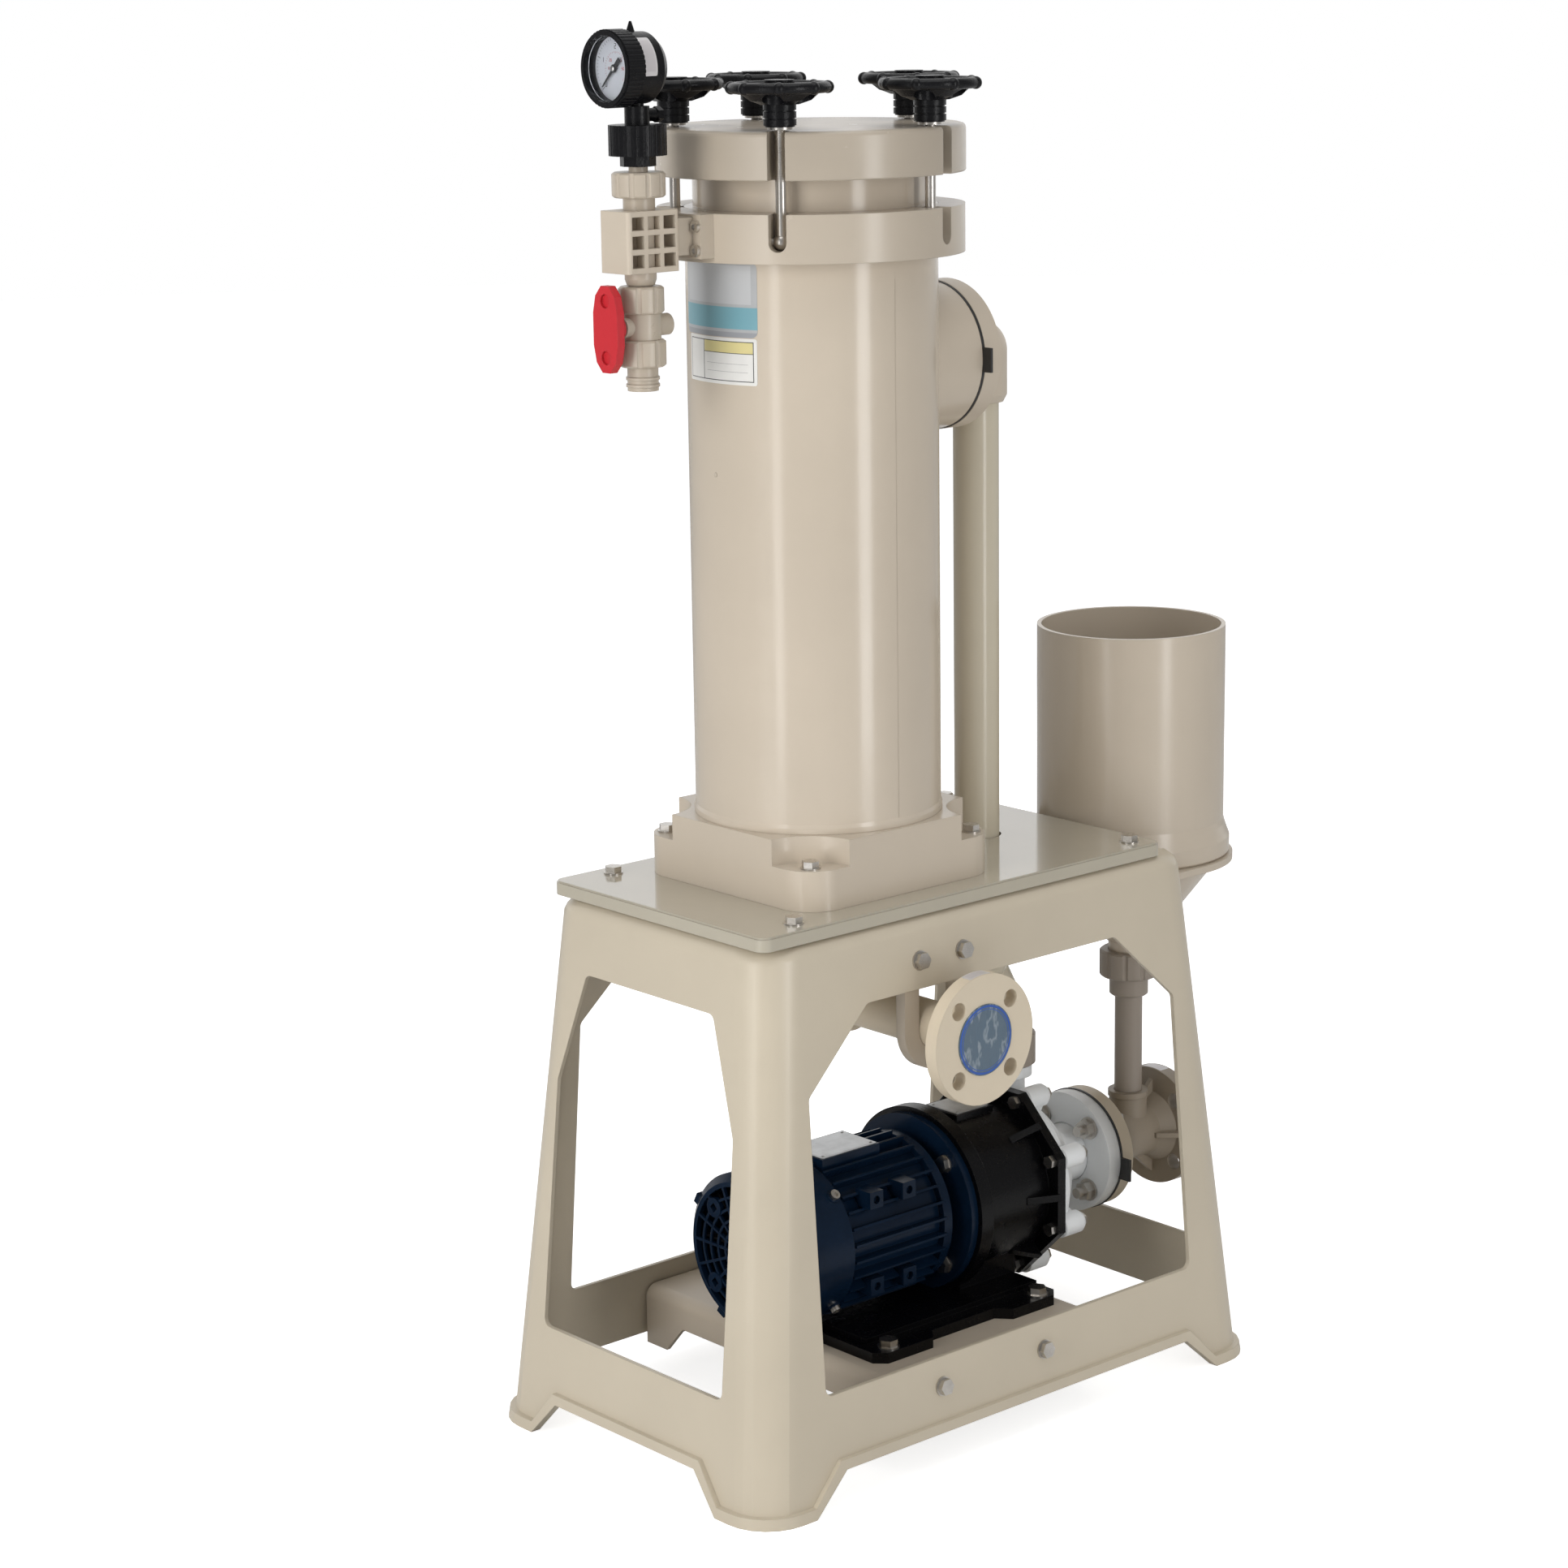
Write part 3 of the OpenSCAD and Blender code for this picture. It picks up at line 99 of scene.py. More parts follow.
class Mat:
    """A Principled material with a small chain of procedural nodes."""

    def __init__(self, name):
        self.m = bpy.data.materials.new(name)
        self.m.use_nodes = True
        self.t = self.m.node_tree
        self.p = self.t.nodes["Principled BSDF"]
        coordinates = self.node("ShaderNodeTexCoord").outputs
        self.co, self.uv = coordinates["Object"], coordinates["UV"]
        self.bumps = []

    def node(self, kind, **values):
        return add_node(self.t, kind, **values)

    def link(self, a, b):
        self.t.links.new(a, b)

    def feed(self, socket, value):
        """Sets an input to a number or an RGB colour, or links it to an output."""
        if isinstance(value, (int, float)):
            socket.default_value = value
        elif isinstance(value, tuple):
            socket.default_value = (*value, 1)
        else:
            self.link(value, socket)

    def put(self, name, value):
        self.feed(self.p.inputs[name], value)

    def scaled(self, x, y, z):
        n = self.node("ShaderNodeMapping", Scale=(x, y, z))
        self.link(self.co, n.inputs["Vector"])
        return n.outputs["Vector"]

    def noise(self, scale, detail=3.0, rough=0.5, vector=None):
        n = self.node("ShaderNodeTexNoise", Scale=scale, Detail=detail, Roughness=rough)
        self.link(vector or self.co, n.inputs["Vector"])
        return n.outputs["Fac"]

    def ramp(self, fac, stops):
        n = self.node("ShaderNodeValToRGB")
        elements = n.color_ramp.elements
        while len(elements) < len(stops):
            elements.new(0.5)
        for element, (position, rgb) in zip(elements, stops):
            element.position = position
            element.color = (*rgb, 1)
        self.link(fac, n.inputs["Fac"])
        return n.outputs["Color"]

    def mix(self, fac, a, b):
        n = self.node("ShaderNodeMix", data_type="RGBA", blend_type="MIX")
        for socket, value in ((n.inputs[0], fac), (n.inputs[6], a), (n.inputs[7], b)):
            self.feed(socket, value)
        return n.outputs[2]

    def spread(self, fac, low, high):
        n = self.node("ShaderNodeMapRange", To_Min=low, To_Max=high)
        self.link(fac, n.inputs["Value"])
        return n.outputs["Result"]

    def maths(self, operation, a, b):
        n = self.node("ShaderNodeMath", operation=operation)
        self.feed(n.inputs[0], a)
        self.feed(n.inputs[1], b)
        return n.outputs[0]

    def bump(self, height, strength, distance):
        n = self.node("ShaderNodeBump", Strength=strength, Distance=distance)
        self.link(height, n.inputs["Height"])
        if self.bumps:
            self.link(self.bumps[-1], n.inputs["Normal"])
        self.bumps.append(n.outputs["Normal"])
        self.link(n.outputs["Normal"], self.p.inputs["Normal"])

    def edges(self, radius):
        """Soft light on the edges, as moulded and cast pieces have; it goes before any bump."""
        self.bumps.append(self.node("ShaderNodeBevel", Radius=radius, samples=4).outputs["Normal"])

    def split(self, x, rgb):
        """Another colour on the side of the plane at that x, in metres, that faces -x."""
        parts = self.node("ShaderNodeSeparateXYZ")
        self.link(self.co, parts.inputs[0])
        base = self.p.inputs["Base Color"].links[0].from_socket
        self.put("Base Color", self.mix(self.maths("GREATER_THAN", parts.outputs[0], x), rgb, base))


def shade(rgb, k):
    return tuple(min(1.0, c * k) for c in rgb)


# ---------------------------------------------------------------- materials
def moulded(name, rgb, rough=0.36, peel=0.15, streak=(1, 1, 1), spec=0.5):
    """Injection moulded plastic: cloudy tone, flow streaks, orange peel, fine dust specks."""
    m = Mat(name)
    cloud = m.ramp(m.noise(5, 4, 0.55), [(0.3, shade(rgb, 0.955)), (0.7, shade(rgb, 1.035))])
    flow = m.noise(14, 3, 0.5, m.scaled(*streak))
    body = m.mix(m.spread(flow, 0.0, 0.14), cloud, shade(rgb, 0.9))
    specks = m.ramp(m.noise(900, 2, 0.6), [(0.70, BLACK), (0.76, WHITE)])
    m.put("Base Color", m.mix(m.spread(specks, 0.0, 0.07), body, shade(rgb, 0.6)))
    m.put("Roughness", m.spread(m.noise(40, 4, 0.6), rough - 0.05, rough + 0.07))
    m.put("Specular IOR Level", spec)
    m.edges(0.0014)
    m.bump(m.noise(260, 3, 0.5), peel, 0.0006)
    m.bump(m.noise(9, 2, 0.5), 0.06, 0.004)
    return m


def metal(name, rgb, rough, scratch=(1, 1, 30), depth=0.12):
    """Bare metal with fine scratches along the axis that scratch stretches least."""
    m = Mat(name)
    m.put("Metallic", 1.0)
    m.put("Base Color", m.ramp(m.noise(60, 4, 0.6), [(0.3, shade(rgb, 0.82)), (0.7, shade(rgb, 1.08))]))
    fine = m.noise(900, 3, 0.6, m.scaled(*scratch))
    m.put("Roughness", m.spread(fine, rough - 0.06, rough + 0.12))
    m.bump(fine, depth, 0.0002)
    return m


def painted(name, rgb, rough, peel, chip=None, spec=0.5, coat=0.25, edge=0.0):
    """Paint, rubber or black plastic: cloudy tone, a fine grain, and dust of the chip colour."""
    m = Mat(name)
    cloud = m.ramp(m.noise(18, 4, 0.6), [(0.3, shade(rgb, 0.85)), (0.7, shade(rgb, 1.2))])
    if chip:
        dust = m.ramp(m.noise(700, 3, 0.65), [(0.66, BLACK), (0.74, WHITE)])
        cloud = m.mix(m.spread(dust, 0.0, 0.5), cloud, chip)
    m.put("Base Color", cloud)
    m.put("Roughness", m.spread(m.noise(90, 4, 0.6), rough - 0.06, rough + 0.1))
    if edge:
        m.edges(edge)
    m.bump(m.noise(420, 3, 0.55), peel, 0.0006)
    m.put("Specular IOR Level", spec)
    m.put("Coat Weight", coat)
    m.put("Coat Roughness", 0.2)
    return m


BEIGE = (0.565, 0.490, 0.395)
CREAM = (0.66, 0.57, 0.435)
FILM_BLUE = (0.096, 0.142, 0.19)
MOULDED = {
    "moulded_beige": dict(rgb=BEIGE),
    "vessel_beige": dict(rgb=BEIGE, rough=0.15, peel=0.04, streak=(1, 1, 0.12)),
    "cream_plastic": dict(rgb=CREAM, rough=0.38, peel=0.12),
    "tee_beige": dict(rgb=(0.30, 0.25, 0.19), rough=0.4, peel=0.12),
    # lid and collar: darker copies of the beige, painted shade on these parts
    "lid_beige": dict(rgb=shade(BEIGE, 0.79), rough=0.24, peel=0.03, streak=(0.5, 0.5, 18)),
    "collar_beige": dict(rgb=shade(BEIGE, 0.88), rough=0.24, peel=0.08),
    "base_beige": dict(rgb=BEIGE, rough=0.18, peel=0.06),
    "plate_beige": dict(rgb=(0.44, 0.40, 0.315), rough=0.11, peel=0.03),
    "tank_beige": dict(rgb=BEIGE, rough=0.2, peel=0.05),
    "pipe_beige": dict(rgb=(0.60, 0.54, 0.42), rough=0.2, peel=0.04, streak=(1, 1, 0.1)),
    "stand_beige": dict(rgb=(0.565, 0.498, 0.388), rough=0.3, peel=0.1),
    # fittings: a darker copy of the beige, painted shade on these parts
    "fitting_beige": dict(rgb=shade(BEIGE, 0.86), rough=0.28, peel=0.08),
    "grey_plastic": dict(rgb=(0.31, 0.265, 0.22), rough=0.42, peel=0.12),
    "white_plastic": dict(rgb=(0.82, 0.83, 0.83), rough=0.42, peel=0.1),
    "filter_media": dict(rgb=(0.86, 0.86, 0.84), rough=0.85, peel=0.6, spec=0.2),
    "red_plastic": dict(rgb=(0.56, 0.018, 0.028), rough=0.4, peel=0.18),
    "dial_white": dict(rgb=(0.80, 0.80, 0.82), rough=0.5, peel=0.02),
    "white_casing": dict(rgb=(0.83, 0.85, 0.86), rough=0.3, peel=0.1),
    "blue_film": dict(rgb=FILM_BLUE, rough=0.16, peel=0.02),
}
METALS = {
    "stainless": dict(rgb=(0.63, 0.60, 0.56), rough=0.26),
    "shaft_steel": dict(rgb=(0.5, 0.5, 0.5), rough=0.3),
    "bare_plate": dict(rgb=(0.62, 0.63, 0.64), rough=0.38, scratch=(1, 60, 60), depth=0.1),
}
PAINTED = {
    "seal_rubber": dict(rgb=(0.022, 0.022, 0.022), rough=0.6, peel=0.3),
    "black_plastic": dict(rgb=(0.0045, 0.0045, 0.0055), rough=0.27, peel=0.5,
                          chip=(0.014, 0.014, 0.016), spec=0.24, coat=0.0, edge=0.0006),
    "black_paint": dict(rgb=(0.0022, 0.0022, 0.0027), rough=0.24, peel=0.3,
                        chip=(0.008, 0.008, 0.009), spec=0.2, coat=0.0, edge=0.001),
    "navy_paint": dict(rgb=(0.0035, 0.0115, 0.028), rough=0.2, peel=0.25,
                       chip=(0.007, 0.018, 0.036), spec=0.14, coat=0.0, edge=0.0008),
    "pointer_black": dict(rgb=(0.01, 0.01, 0.01), rough=0.4, peel=0.1),
    "dial_ink": dict(rgb=(0.02, 0.02, 0.025), rough=0.5, peel=0.05),
    "dial_red_ink": dict(rgb=(0.45, 0.05, 0.06), rough=0.5, peel=0.05),
    "blue_ink": dict(rgb=(0.012, 0.075, 0.36), rough=0.35, peel=0.05),
}
M = {}
for kind, table in ((moulded, MOULDED), (metal, METALS), (painted, PAINTED)):
    for name, values in table.items():
        M[name] = kind(name, **values)

# the suction tee is darker than its flange next to the pump
TEE_FLANGE_X = 0.2557  # where the flange ends, in the row frame, metres
M["tee_beige"].split(TEE_FLANGE_X, CREAM)

M["plate_beige"].put("Coat Weight", 0.8)
M["plate_beige"].put("Coat Roughness", 0.06)

M["white_casing"].put("Subsurface Weight", 0.35)
M["white_casing"].put("Subsurface Scale", 0.012)
M["white_casing"].p.inputs["Subsurface Radius"].default_value = (1.0, 1.0, 1.0)

# transport film: a wavy surface, with pale streaks along its folds that are painted sheen
film_mat = M["blue_film"]
folds = film_mat.noise(34, 3, 0.6, film_mat.scaled(1.6, 1, 0.7))
# pale streaks along a level of the folds: a painted sheen, where the folds would catch the light
crease_sheen = film_mat.spread(film_mat.ramp(folds, [(0.50, BLACK), (0.56, WHITE), (0.62, BLACK)]), 0.0, 0.45)
film_mat.put("Base Color", film_mat.mix(crease_sheen, FILM_BLUE, (0.42, 0.47, 0.50)))
film_mat.bump(folds, 0.9, 0.004)

glass = M["clear_glass"] = Mat("clear_glass")
glass.put("Transmission Weight", 1.0)
glass.put("Base Color", (0.95, 0.97, 1.0))
glass.put("Roughness", 0.03)
glass.put("IOR", 1.45)
glass.bump(glass.noise(30, 2, 0.4), 0.02, 0.001)

# each node has the material of its slot, but for these: some differ a little in tone or gloss, and the
# lid, collar and fittings take darker copies of the beige, which are painted shade
SLOT_OF = {s["node"]: s["material_slot"] for s in frame["record"]["subparts"]}
SPECIAL = {"barrel": "vessel_beige", "suction_tee": "tee_beige", "lid": "lid_beige",
           "collar": "collar_beige", "vessel_base": "base_beige", "top_plate": "plate_beige",
           "stand": "stand_beige", "column_pipe": "fitting_beige", "column_nuts": "fitting_beige",
           "valve_body": "fitting_beige", "tank": "tank_beige", "riser_pipe": "pipe_beige"}
for name, obj in NODES.items():
    obj.data.materials.clear()
    obj.data.materials.append(M[SPECIAL.get(name, SLOT_OF[name])].m)


# ---------------------------------------------------------------- smooth corners
def soften(obj, limit):
    """Smooth shading over the facets of rounded corners, by modifiers alone: the solid stays as it is."""
    group = bpy.data.node_groups.new("soften_" + obj.name, "GeometryNodeTree")
    for in_out in ("INPUT", "OUTPUT"):
        group.interface.new_socket("Geometry", in_out=in_out, socket_type="NodeSocketGeometry")
    angle = add_node(group, "GeometryNodeInputMeshEdgeAngle")
    sharp = add_node(group, "FunctionNodeCompare", operation="GREATER_THAN")
    sharp.inputs[1].default_value = math.radians(limit)
    faces = add_node(group, "GeometryNodeSetShadeSmooth", domain="FACE", Shade_Smooth=True)
    edges = add_node(group, "GeometryNodeSetShadeSmooth", domain="EDGE", Shade_Smooth=False)
    group.links.new(angle.outputs["Unsigned Angle"], sharp.inputs[0])
    group.links.new(sharp.outputs["Result"], edges.inputs["Selection"])
    chain = (add_node(group, "NodeGroupInput"),
             add_node(group, "GeometryNodeRemoveAttribute", Name="custom_normal"),
             add_node(group, "GeometryNodeMergeByDistance", Distance=1e-5),
             faces, edges, add_node(group, "NodeGroupOutput"))
    for a, b in zip(chain, chain[1:]):
        group.links.new(a.outputs[0], b.inputs[0])
    obj.modifiers.new("soften", "NODES").node_group = group
    weighted = obj.modifiers.new("weighted", "WEIGHTED_NORMAL")
    weighted.keep_sharp = True
    weighted.weight = 60


for name in ("stand", "vessel_base", "pump_tray"):
    soften(NODES[name], 28)


# ---------------------------------------------------------------- pieces
def piece(name, verts, faces, mat, body, smooth, uvs=None):
    """A mesh piece from points in the row frame, in metres. uvs holds one pair for each vertex."""
    mesh = bpy.data.meshes.new(name)
    mesh.from_pydata([tuple(v) for v in verts], [], faces)
    if uvs:
        layer = mesh.uv_layers.new(name="UVMap")
        for loop in mesh.loops:
            layer.data[loop.index].uv = uvs[loop.vertex_index]
    mesh.validate()
    mesh.update()
    obj = new_object(name, mesh)
    mesh.materials.append(mat.m)
    if smooth is not None:
        mesh.shade_smooth()
        mesh.set_sharp_from_angle(angle=math.radians(smooth))
    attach(obj, body)


class Build:
    """Collects the faces of several small forms into one mesh piece."""

    def __init__(self):
        self.v, self.f = [], []

    def add(self, verts, faces):
        k = len(self.v)
        self.v += [Vector(v) for v in verts]
        self.f += [[i + k for i in face] for face in faces]

    def slab(self, outline, origin, right, up, low, high):
        """A flat plate with that 2-D outline in mm, standing from low to high mm along right x up."""
        right, up = Vector(right).normalized(), Vector(up).normalized()
        out = right.cross(up)
        n = len(outline)
        verts = [origin + (right * x + up * y + out * h) / 1000 for h in (low, high) for x, y in outline]
        faces = [list(range(n, 2 * n)), list(range(n - 1, -1, -1))]
        faces += [[i, (i + 1) % n, n + (i + 1) % n, n + i] for i in range(n)]
        self.add(verts, faces)

    def lathe(self, profile, origin, axis, steps=24):
        """A turned form: profile is (radius, height) in mm, from the bottom to the top."""
        axis = Vector(axis).normalized()
        side = axis.orthogonal().normalized()
        across = axis.cross(side)
        n = len(profile)
        verts, faces = [], []
        for k in range(steps):
            t = 2 * math.pi * k / steps
            d = side * math.cos(t) + across * math.sin(t)
            verts += [origin + (d * r + axis * h) / 1000 for r, h in profile]
            j = (k + 1) % steps
            faces += [[k * n + i, j * n + i, j * n + i + 1, k * n + i + 1] for i in range(n - 1)]
        faces.append([k * n + n - 1 for k in range(steps)])
        faces.append([k * n for k in range(steps - 1, -1, -1)])
        self.add(verts, faces)

    def make(self, name, mat, body, slot, smooth=None):
        piece(name, self.v, self.f, mat, body, smooth)


def rounded(w, h, r, n=6):
    """The outline of a rounded rectangle centred on the origin, anticlockwise."""
    pts = []
    for cx, cy, a0 in ((w / 2 - r, h / 2 - r, 0), (r - w / 2, h / 2 - r, 90),
                       (r - w / 2, r - h / 2, 180), (w / 2 - r, r - h / 2, 270)):
        for k in range(n + 1):
            t = math.radians(a0 + 90 * k / n)
            pts.append((cx + r * math.cos(t), cy + r * math.sin(t)))
    return pts


# ---------------------------------------------------------------- stickers
def sticker(name, mat, centre, axis, zero, r, angles, heights, corner, thick):
    """A film on a cylinder of radius r, between two angles and two heights, with rounded corners."""
    axis, zero = Vector(axis), Vector(zero)
    across = axis.cross(zero)
    width = math.radians(angles[1] - angles[0]) * r
    high = heights[1] - heights[0]
    rows, middle, turn = 12, 30, 5
    at_corner = [corner * (1 - math.cos(math.pi / 2 * k / turn)) for k in range(turn + 1)]
    cols = sorted(set(at_corner) | {width - u for u in at_corner}
                  | {corner + (width - 2 * corner) * k / middle for k in range(middle + 1)})
    verts, uvs, faces = [], [], []
    for level in (r, r + thick):
        for u in cols:
            d = min(u, width - u)
            cut = corner - math.sqrt(max(0.0, corner ** 2 - (corner - d) ** 2)) if d < corner else 0.0
            t = math.radians(angles[0]) + u / r
            out = zero * math.cos(t) + across * math.sin(t)
            for k in range(rows + 1):
                h = heights[0] + cut + (high - 2 * cut) * k / rows
                verts.append(centre + (out * level + axis * h) / 1000)
                uvs.append((u / width, (h - heights[0]) / high))
    m, c = rows + 1, len(cols)
    top = m * c
    for i in range(c - 1):
        for k in range(rows):
            q = [i * m + k, (i + 1) * m + k, (i + 1) * m + k + 1, i * m + k + 1]
            faces += [[j + top for j in q], q[::-1]]
    ring = [i * m for i in range(c)] + [(c - 1) * m + k for k in range(1, m)]
    ring += [i * m + rows for i in range(c - 2, -1, -1)] + list(range(rows - 1, 0, -1))
    faces += [[i, j, j + top, i + top] for i, j in zip(ring, ring[1:] + ring[:1])]
    piece(name, verts, faces, mat, "frame", 40, uvs)


def film(name, base, rough, blocks, line=None, metallic=0.0):
    """Printed film: a base colour with plain blocks (u0, v0, u1, v1, colour) and a border line."""
    m = Mat(name)
    parts = m.node("ShaderNodeSeparateXYZ")
    m.link(m.uv, parts.inputs[0])
    u, v = parts.outputs[:2]

    def inside(u0, v0, u1, v1):
        across = m.maths("MULTIPLY", m.maths("GREATER_THAN", u, u0), m.maths("LESS_THAN", u, u1))
        along = m.maths("MULTIPLY", m.maths("GREATER_THAN", v, v0), m.maths("LESS_THAN", v, v1))
        return m.maths("MULTIPLY", across, along)

    colour = m.ramp(m.noise(22, 4, 0.6), [(0.3, shade(base, 0.93)), (0.7, shade(base, 1.05))])
    for *box, rgb in blocks:
        colour = m.mix(inside(*box), colour, rgb)
    if line:
        x, y, wx, wy, rgb = line
        ring = m.maths("SUBTRACT", inside(x, y, 1 - x, 1 - y),
                       inside(x + wx, y + wy, 1 - x - wx, 1 - y - wy))
        colour = m.mix(ring, colour, rgb)
    m.put("Base Color", colour)
    m.put("Metallic", metallic)
    m.put("Roughness", m.spread(m.noise(70, 3, 0.5), rough - 0.04, rough + 0.08))
    m.bump(m.noise(55, 2, 0.4), 0.05, 0.001)
    return m


# blank stickers: nothing is printed on them but plain blocks and lines
DARK_LINE, PALE_LINE = (0.05, 0.05, 0.05), (0.3, 0.3, 0.3)
silver = film("silver_film", (0.42, 0.43, 0.44), 0.3,
              [(0.06, 0.44, 0.94, 0.95, (0.50, 0.51, 0.52)),
               (0.0, 0.11, 1.0, 0.40, (0.17, 0.36, 0.42)),
               (0.0, 0.0, 1.0, 0.07, (0.30, 0.31, 0.33))])
white_label = film("white_label", (0.74, 0.73, 0.70), 0.42,
                   [(0.32, 0.68, 0.955, 0.93, (0.66, 0.58, 0.27)),
                    (0.305, 0.07, 0.315, 0.93, DARK_LINE),
                    (0.315, 0.665, 0.96, 0.68, DARK_LINE),
                    (0.36, 0.44, 0.90, 0.447, PALE_LINE),
                    (0.36, 0.27, 0.90, 0.277, PALE_LINE)],
                   line=(0.035, 0.07, 0.009, 0.018, DARK_LINE))
blank_film = film("blank_film", (0.66, 0.64, 0.64), 0.3,
                  [(0.1, 0.12, 0.9, 0.88, (0.60, 0.57, 0.58))], metallic=0.25)
sticker("vessel_sticker_high", silver, at(0, 0, 0), UP, XP, BARREL_R,
        (152.5, 203.3), (1189.5, 1265.7), 7, 0.25)
sticker("vessel_sticker_low", white_label, at(0, 0, 0), UP, XP, BARREL_R,
        (156.2, 202.9), (1141.5, 1188.8), 2.5, 0.25)
sticker("gauge_sticker", blank_film, at(0, 0, GAUGE_Z), XM, YM, 35,
        (-12, 56.5), (229.2, 245.6), 1.6, 0.2)
sticker("outlet_rim_sticker", blank_film, at(OUTLET_X, 0, OUTLET_Z), YM, UP, FLANGE_R,
        (-8, 16), (229, 243), 1.2, 0.2)
sticker("tee_rim_sticker", blank_film, at(0, PUMP_Y, PUMP_Z), XP, UP, FLANGE_R,
        (-13, 11), (506, 520), 1.2, 0.2)

# ---------------------------------------------------------------- mould marks and threads
# a thin seam line along the barrel, and its gate mark
b = Build()
b.slab(rounded(0.7, 560, 0.3), at(-BARREL_R * math.sin(math.radians(2.1)), -130.9, 966),
       (0.999, -0.037, 0), UP, 0, 0.12)
gate = math.radians(177.9)
b.lathe([(2.4, 0), (2.4, 0.25), (1.6, 0.45), (0.4, 0.3)],
        at(BARREL_R * math.cos(gate), BARREL_R * math.sin(gate), 1047.3),
        (math.cos(gate), math.sin(gate), 0), 20)
b.make("vessel_mould_marks", M["vessel_beige"], "frame", "moulded_beige", 30)

# rolled threads of the swing rods
THREAD_LOW, THREAD_HIGH, PITCH, THREAD_STEPS = 1346, 1436, 1.5, 20
THREAD_RIDGE = ((5.45, -0.62), (5.8, -0.12), (5.8, 0.12), (5.45, 0.62))  # radius, height
thread_turns = int((THREAD_HIGH - THREAD_LOW) / PITCH)
for k in range(5):
    t = math.radians(72 * k)
    cx, cy = ROD_CIRCLE_R * math.cos(t), ROD_CIRCLE_R * math.sin(t)
    verts, faces = [], []
    for i in range(thread_turns * THREAD_STEPS + 1):
        a = 2 * math.pi * i / THREAD_STEPS
        z = THREAD_LOW + PITCH * i / THREAD_STEPS
        verts += [at(cx + r * math.cos(a), cy + r * math.sin(a), z + dz) for r, dz in THREAD_RIDGE]
    for i in range(thread_turns * THREAD_STEPS):
        faces += [[4 * i + j, 4 * i + 4 + j, 4 * i + 5 + j, 4 * i + 1 + j] for j in range(3)]
    piece("swing_thread_%d" % (k + 1), verts, faces, M["stainless"], "swing_%d" % (k + 1),
          50)


# ---------------------------------------------------------------- gauge face
DIAL = at(-252.65, 0, GAUGE_Z)
DIAL_START, DIAL_SWEEP = -135, 270  # degrees, clockwise from the top
SEGMENTS = {"a": (0, 2, 1, 2), "b": (1, 2, 1, 1), "c": (1, 1, 1, 0), "d": (0, 0, 1, 0),
            "e": (0, 0, 0, 1), "f": (0, 1, 0, 2), "g": (0, 1, 1, 1)}
DIGITS = {"0": "abcdef", "1": "bc", "2": "abged", "3": "abgcd", "4": "fgbc", "5": "afgcd"}


def on_dial(share, r):
    """A point of the dial at that share of its scale and radius, in mm from its middle."""
    t = math.radians(DIAL_START + DIAL_SWEEP * share)
    return r * math.sin(t), r * math.cos(t)


def stroke(b, x0, y0, x1, y1, w):
    """A printed line of width w."""
    d = math.hypot(x1 - x0, y1 - y0)
    ux, uy = (x1 - x0) / d, (y1 - y0) / d
    px, py = -uy * w / 2, ux * w / 2
    b.slab([(x0 + px, y0 + py), (x0 - px, y0 - py), (x1 - px, y1 - py), (x1 + px, y1 + py)],
           DIAL, YM, UP, 0, 0.1)


def number(b, text, cx, cy, size, w):
    """A plain number of straight strokes, centred on that point."""
    gap = size * 0.85
    x = cx - gap * (len(text) - 1) / 2 - size * 0.25
    y = cy - size / 2
    for ch in text:
        for segment in DIGITS[ch]:
            x0, y0, x1, y1 = (v * size / 2 for v in SEGMENTS[segment])
            stroke(b, x + x0, y + y0, x + x1, y + y1, w)
        x += gap


black_marks, red_marks = Build(), Build()
for k in range(41):
    start = 25.5 if k % 10 == 0 else (26.7 if k % 5 == 0 else 27.6)
    stroke(black_marks, *on_dial(k / 40, start), *on_dial(k / 40, 29.3), 0.55 if k % 10 == 0 else 0.28)
for k in range(5):
    number(black_marks, str(k), *on_dial(k / 4, 21.6), 4.6, 0.62)
for k in range(31):
    stroke(red_marks, *on_dial(k / 30, 15.3 if k % 5 else 14.4), *on_dial(k / 30, 16.6), 0.32)
for k in (1, 2, 4, 5):
    number(red_marks, str(k * 10), *on_dial(k / 6, 11.2), 2.6, 0.4)
black_marks.make("dial_scale_marks", M["dial_ink"], "frame", "pointer_black")
red_marks.make("dial_inner_marks", M["dial_red_ink"], "frame", "red_plastic")

b = Build()
b.lathe([(2.6, 0), (2.6, 0.5), (1.9, 1.0), (0.6, 1.2)], at(-257, 0, GAUGE_Z), XM, 24)
b.make("pointer_cap", M["stainless"], "pointer", "shaft_steel", 30)

# ---------------------------------------------------------------- plates and film rings
# bare rating plates on the motor and on the pump bracket, each with its rivets
for name, x0, x1, y0, y1, z in (("motor_plate", -42, 38, -46, 10, 302),
                                ("bracket_plate", 163, 213, -42, 6, 305)):
    b = Build()
    mid = at((x0 + x1) / 2, (y0 + y1) / 2, z)
    b.slab(rounded(x1 - x0, y1 - y0, 3), mid, XP, YP, 0, 0.7)
    b.slab(rounded(x1 - x0 - 5, y1 - y0 - 5, 2), mid, XP, YP, 0.6, 0.85)
    b.make(name, M["bare_plate"], "frame", "shaft_steel", 25)
    b = Build()
    for x in (x0 + 5, x1 - 5):
        for y in (y0 + 5, y1 - 5):
            b.lathe([(1.8, 0.6), (1.8, 1.1), (1.1, 1.6), (0.3, 1.7)], at(x, y, z), UP, 16)
    b.make(name + "_rivets", M["shaft_steel"], "frame", "shaft_steel", 40)

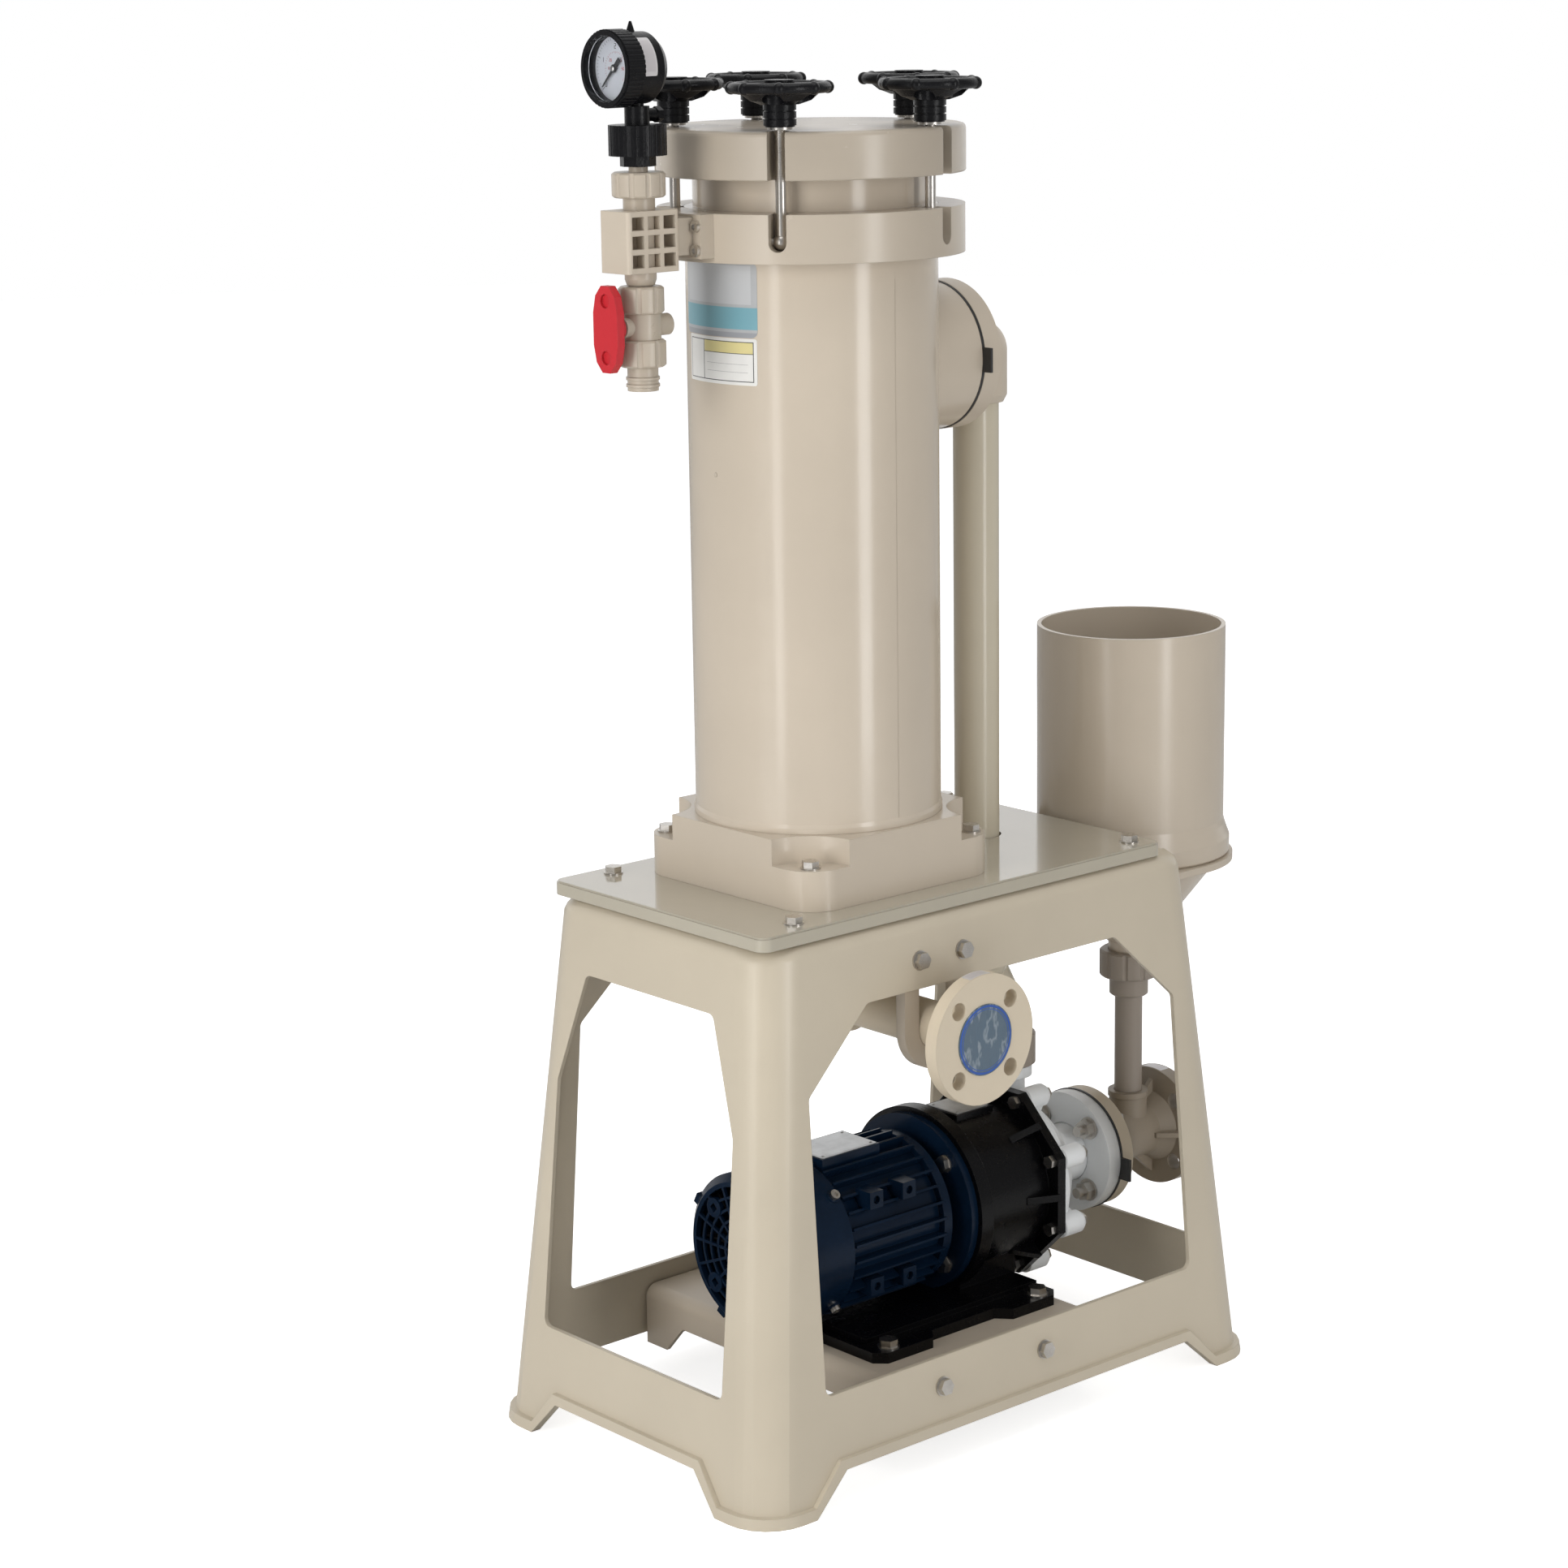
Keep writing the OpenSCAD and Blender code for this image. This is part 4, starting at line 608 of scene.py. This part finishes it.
# two printed rings on the film over the outlet's bore
RING_STEPS, FILM_Y, INK = 72, -245.2, 0.12
b = Build()
for r0, r1 in ((34.6, 36.9), (32.2, 33.0)):
    verts, faces = [], []
    for k in range(RING_STEPS):
        t = 2 * math.pi * k / RING_STEPS
        verts += [at(OUTLET_X + r * math.cos(t), y, OUTLET_Z + r * math.sin(t))
                  for r in (r0, r1) for y in (FILM_Y, FILM_Y - INK)]
        q, w = 4 * k, 4 * ((k + 1) % RING_STEPS)
        faces += [[q + 1, w + 1, w + 3, q + 3], [q, q + 1, w + 1, w],
                  [q + 2, w + 2, w + 3, q + 3], [q, w, w + 2, q + 2]]
    b.add(verts, faces)
b.make("outlet_film_rings", M["blue_ink"], "frame", "blue_film", 30)


# ---------------------------------------------------------------- light
def area(name, loc, aim, size, power):
    """A rectangular lamp at loc that faces aim."""
    data = bpy.data.lights.new(name, "AREA")
    data.shape = "RECTANGLE"
    data.size, data.size_y = size
    data.energy = power
    lamp = new_object(name, data)
    lamp.location = loc
    lamp.rotation_euler = (Vector(aim) - Vector(loc)).to_track_quat("-Z", "Y").to_euler()
    return lamp


CENTRE = (0.0, 0.0, 0.75)
area("key_left", (-3.4, -0.35, 1.3), (0.0, 0.0, 1.0), (1.3, 2.8), 62).visible_glossy = False
area("sheen_left", (-3.4, -0.87, 1.3), (0.0, 0.0, 1.0), (0.5, 2.8), 13).visible_diffuse = False
area("key_right", (0.1, -3.3, 1.15), (0.0, 0.0, 0.9), (0.7, 2.6), 30)
area("top", (-0.4, -0.4, 4.0), CENTRE, (2.6, 2.6), 34)
area("back", (2.6, 2.2, 1.8), CENTRE, (1.2, 2.6), 14).visible_glossy = False

# the world: plain soft light, white where the camera sees it, and bright in reflections of the
# backdrop, which is the side that the camera looks towards
AMBIENT, BACKDROP_GLOW = 0.42, 1.2
TOWARDS_BACKDROP = (0.64, 0.73, 0.0)
world = bpy.data.worlds.new("world")
world.use_nodes = True
SCENE.world = world
tree = world.node_tree
plain = tree.nodes["Background"]
plain.inputs["Color"].default_value = (*WHITE, 1)
plain.inputs["Strength"].default_value = AMBIENT
backdrop = add_node(tree, "ShaderNodeBackground", Color=(*WHITE, 1), Strength=1.0)
glow = add_node(tree, "ShaderNodeBackground")
rays = add_node(tree, "ShaderNodeLightPath")
where = add_node(tree, "ShaderNodeTexCoord")
facing = add_node(tree, "ShaderNodeVectorMath", operation="DOT_PRODUCT")
facing.inputs[1].default_value = TOWARDS_BACKDROP
fade = add_node(tree, "ShaderNodeMapRange", From_Min=0.25, From_Max=0.7,
                To_Min=AMBIENT, To_Max=BACKDROP_GLOW)
reflected = add_node(tree, "ShaderNodeMixShader")
seen = add_node(tree, "ShaderNodeMixShader")
for a, b in ((where.outputs["Generated"], facing.inputs[0]),
             (facing.outputs["Value"], fade.inputs["Value"]),
             (fade.outputs["Result"], glow.inputs["Strength"]),
             (rays.outputs["Is Glossy Ray"], reflected.inputs[0]),
             (plain.outputs[0], reflected.inputs[1]),
             (glow.outputs[0], reflected.inputs[2]),
             (rays.outputs["Is Camera Ray"], seen.inputs[0]),
             (reflected.outputs[0], seen.inputs[1]),
             (backdrop.outputs[0], seen.inputs[2]),
             (seen.outputs[0], tree.nodes["World Output"].inputs["Surface"])):
    tree.links.new(a, b)

# ---------------------------------------------------------------- floor
bm = bmesh.new()
bmesh.ops.create_circle(bm, cap_ends=True, segments=96, radius=14)
floor_mesh = bpy.data.meshes.new("floor")
bm.to_mesh(floor_mesh)
bm.free()
floor = new_object("floor", floor_mesh)
ground = Mat("floor")
ground.put("Base Color", (0.82, 0.82, 0.82))
ground.put("Roughness", 0.9)
ground.put("Specular IOR Level", 0.1)
# the camera alone sees the floor brighter, so that it meets the white backdrop and keeps its shadow
brighter = ground.node("ShaderNodeEmission", Strength=0.74)
lit = ground.node("ShaderNodeAddShader")
rays = ground.node("ShaderNodeLightPath")
seen = ground.node("ShaderNodeMixShader")
for a, b in ((ground.p.outputs[0], lit.inputs[0]),
             (brighter.outputs[0], lit.inputs[1]),
             (rays.outputs["Is Camera Ray"], seen.inputs[0]),
             (ground.p.outputs[0], seen.inputs[1]),
             (lit.outputs[0], seen.inputs[2]),
             (seen.outputs[0], ground.t.nodes["Material Output"].inputs["Surface"])):
    ground.link(a, b)
floor_mesh.materials.append(ground.m)

SCENE.view_settings.view_transform = "Standard"
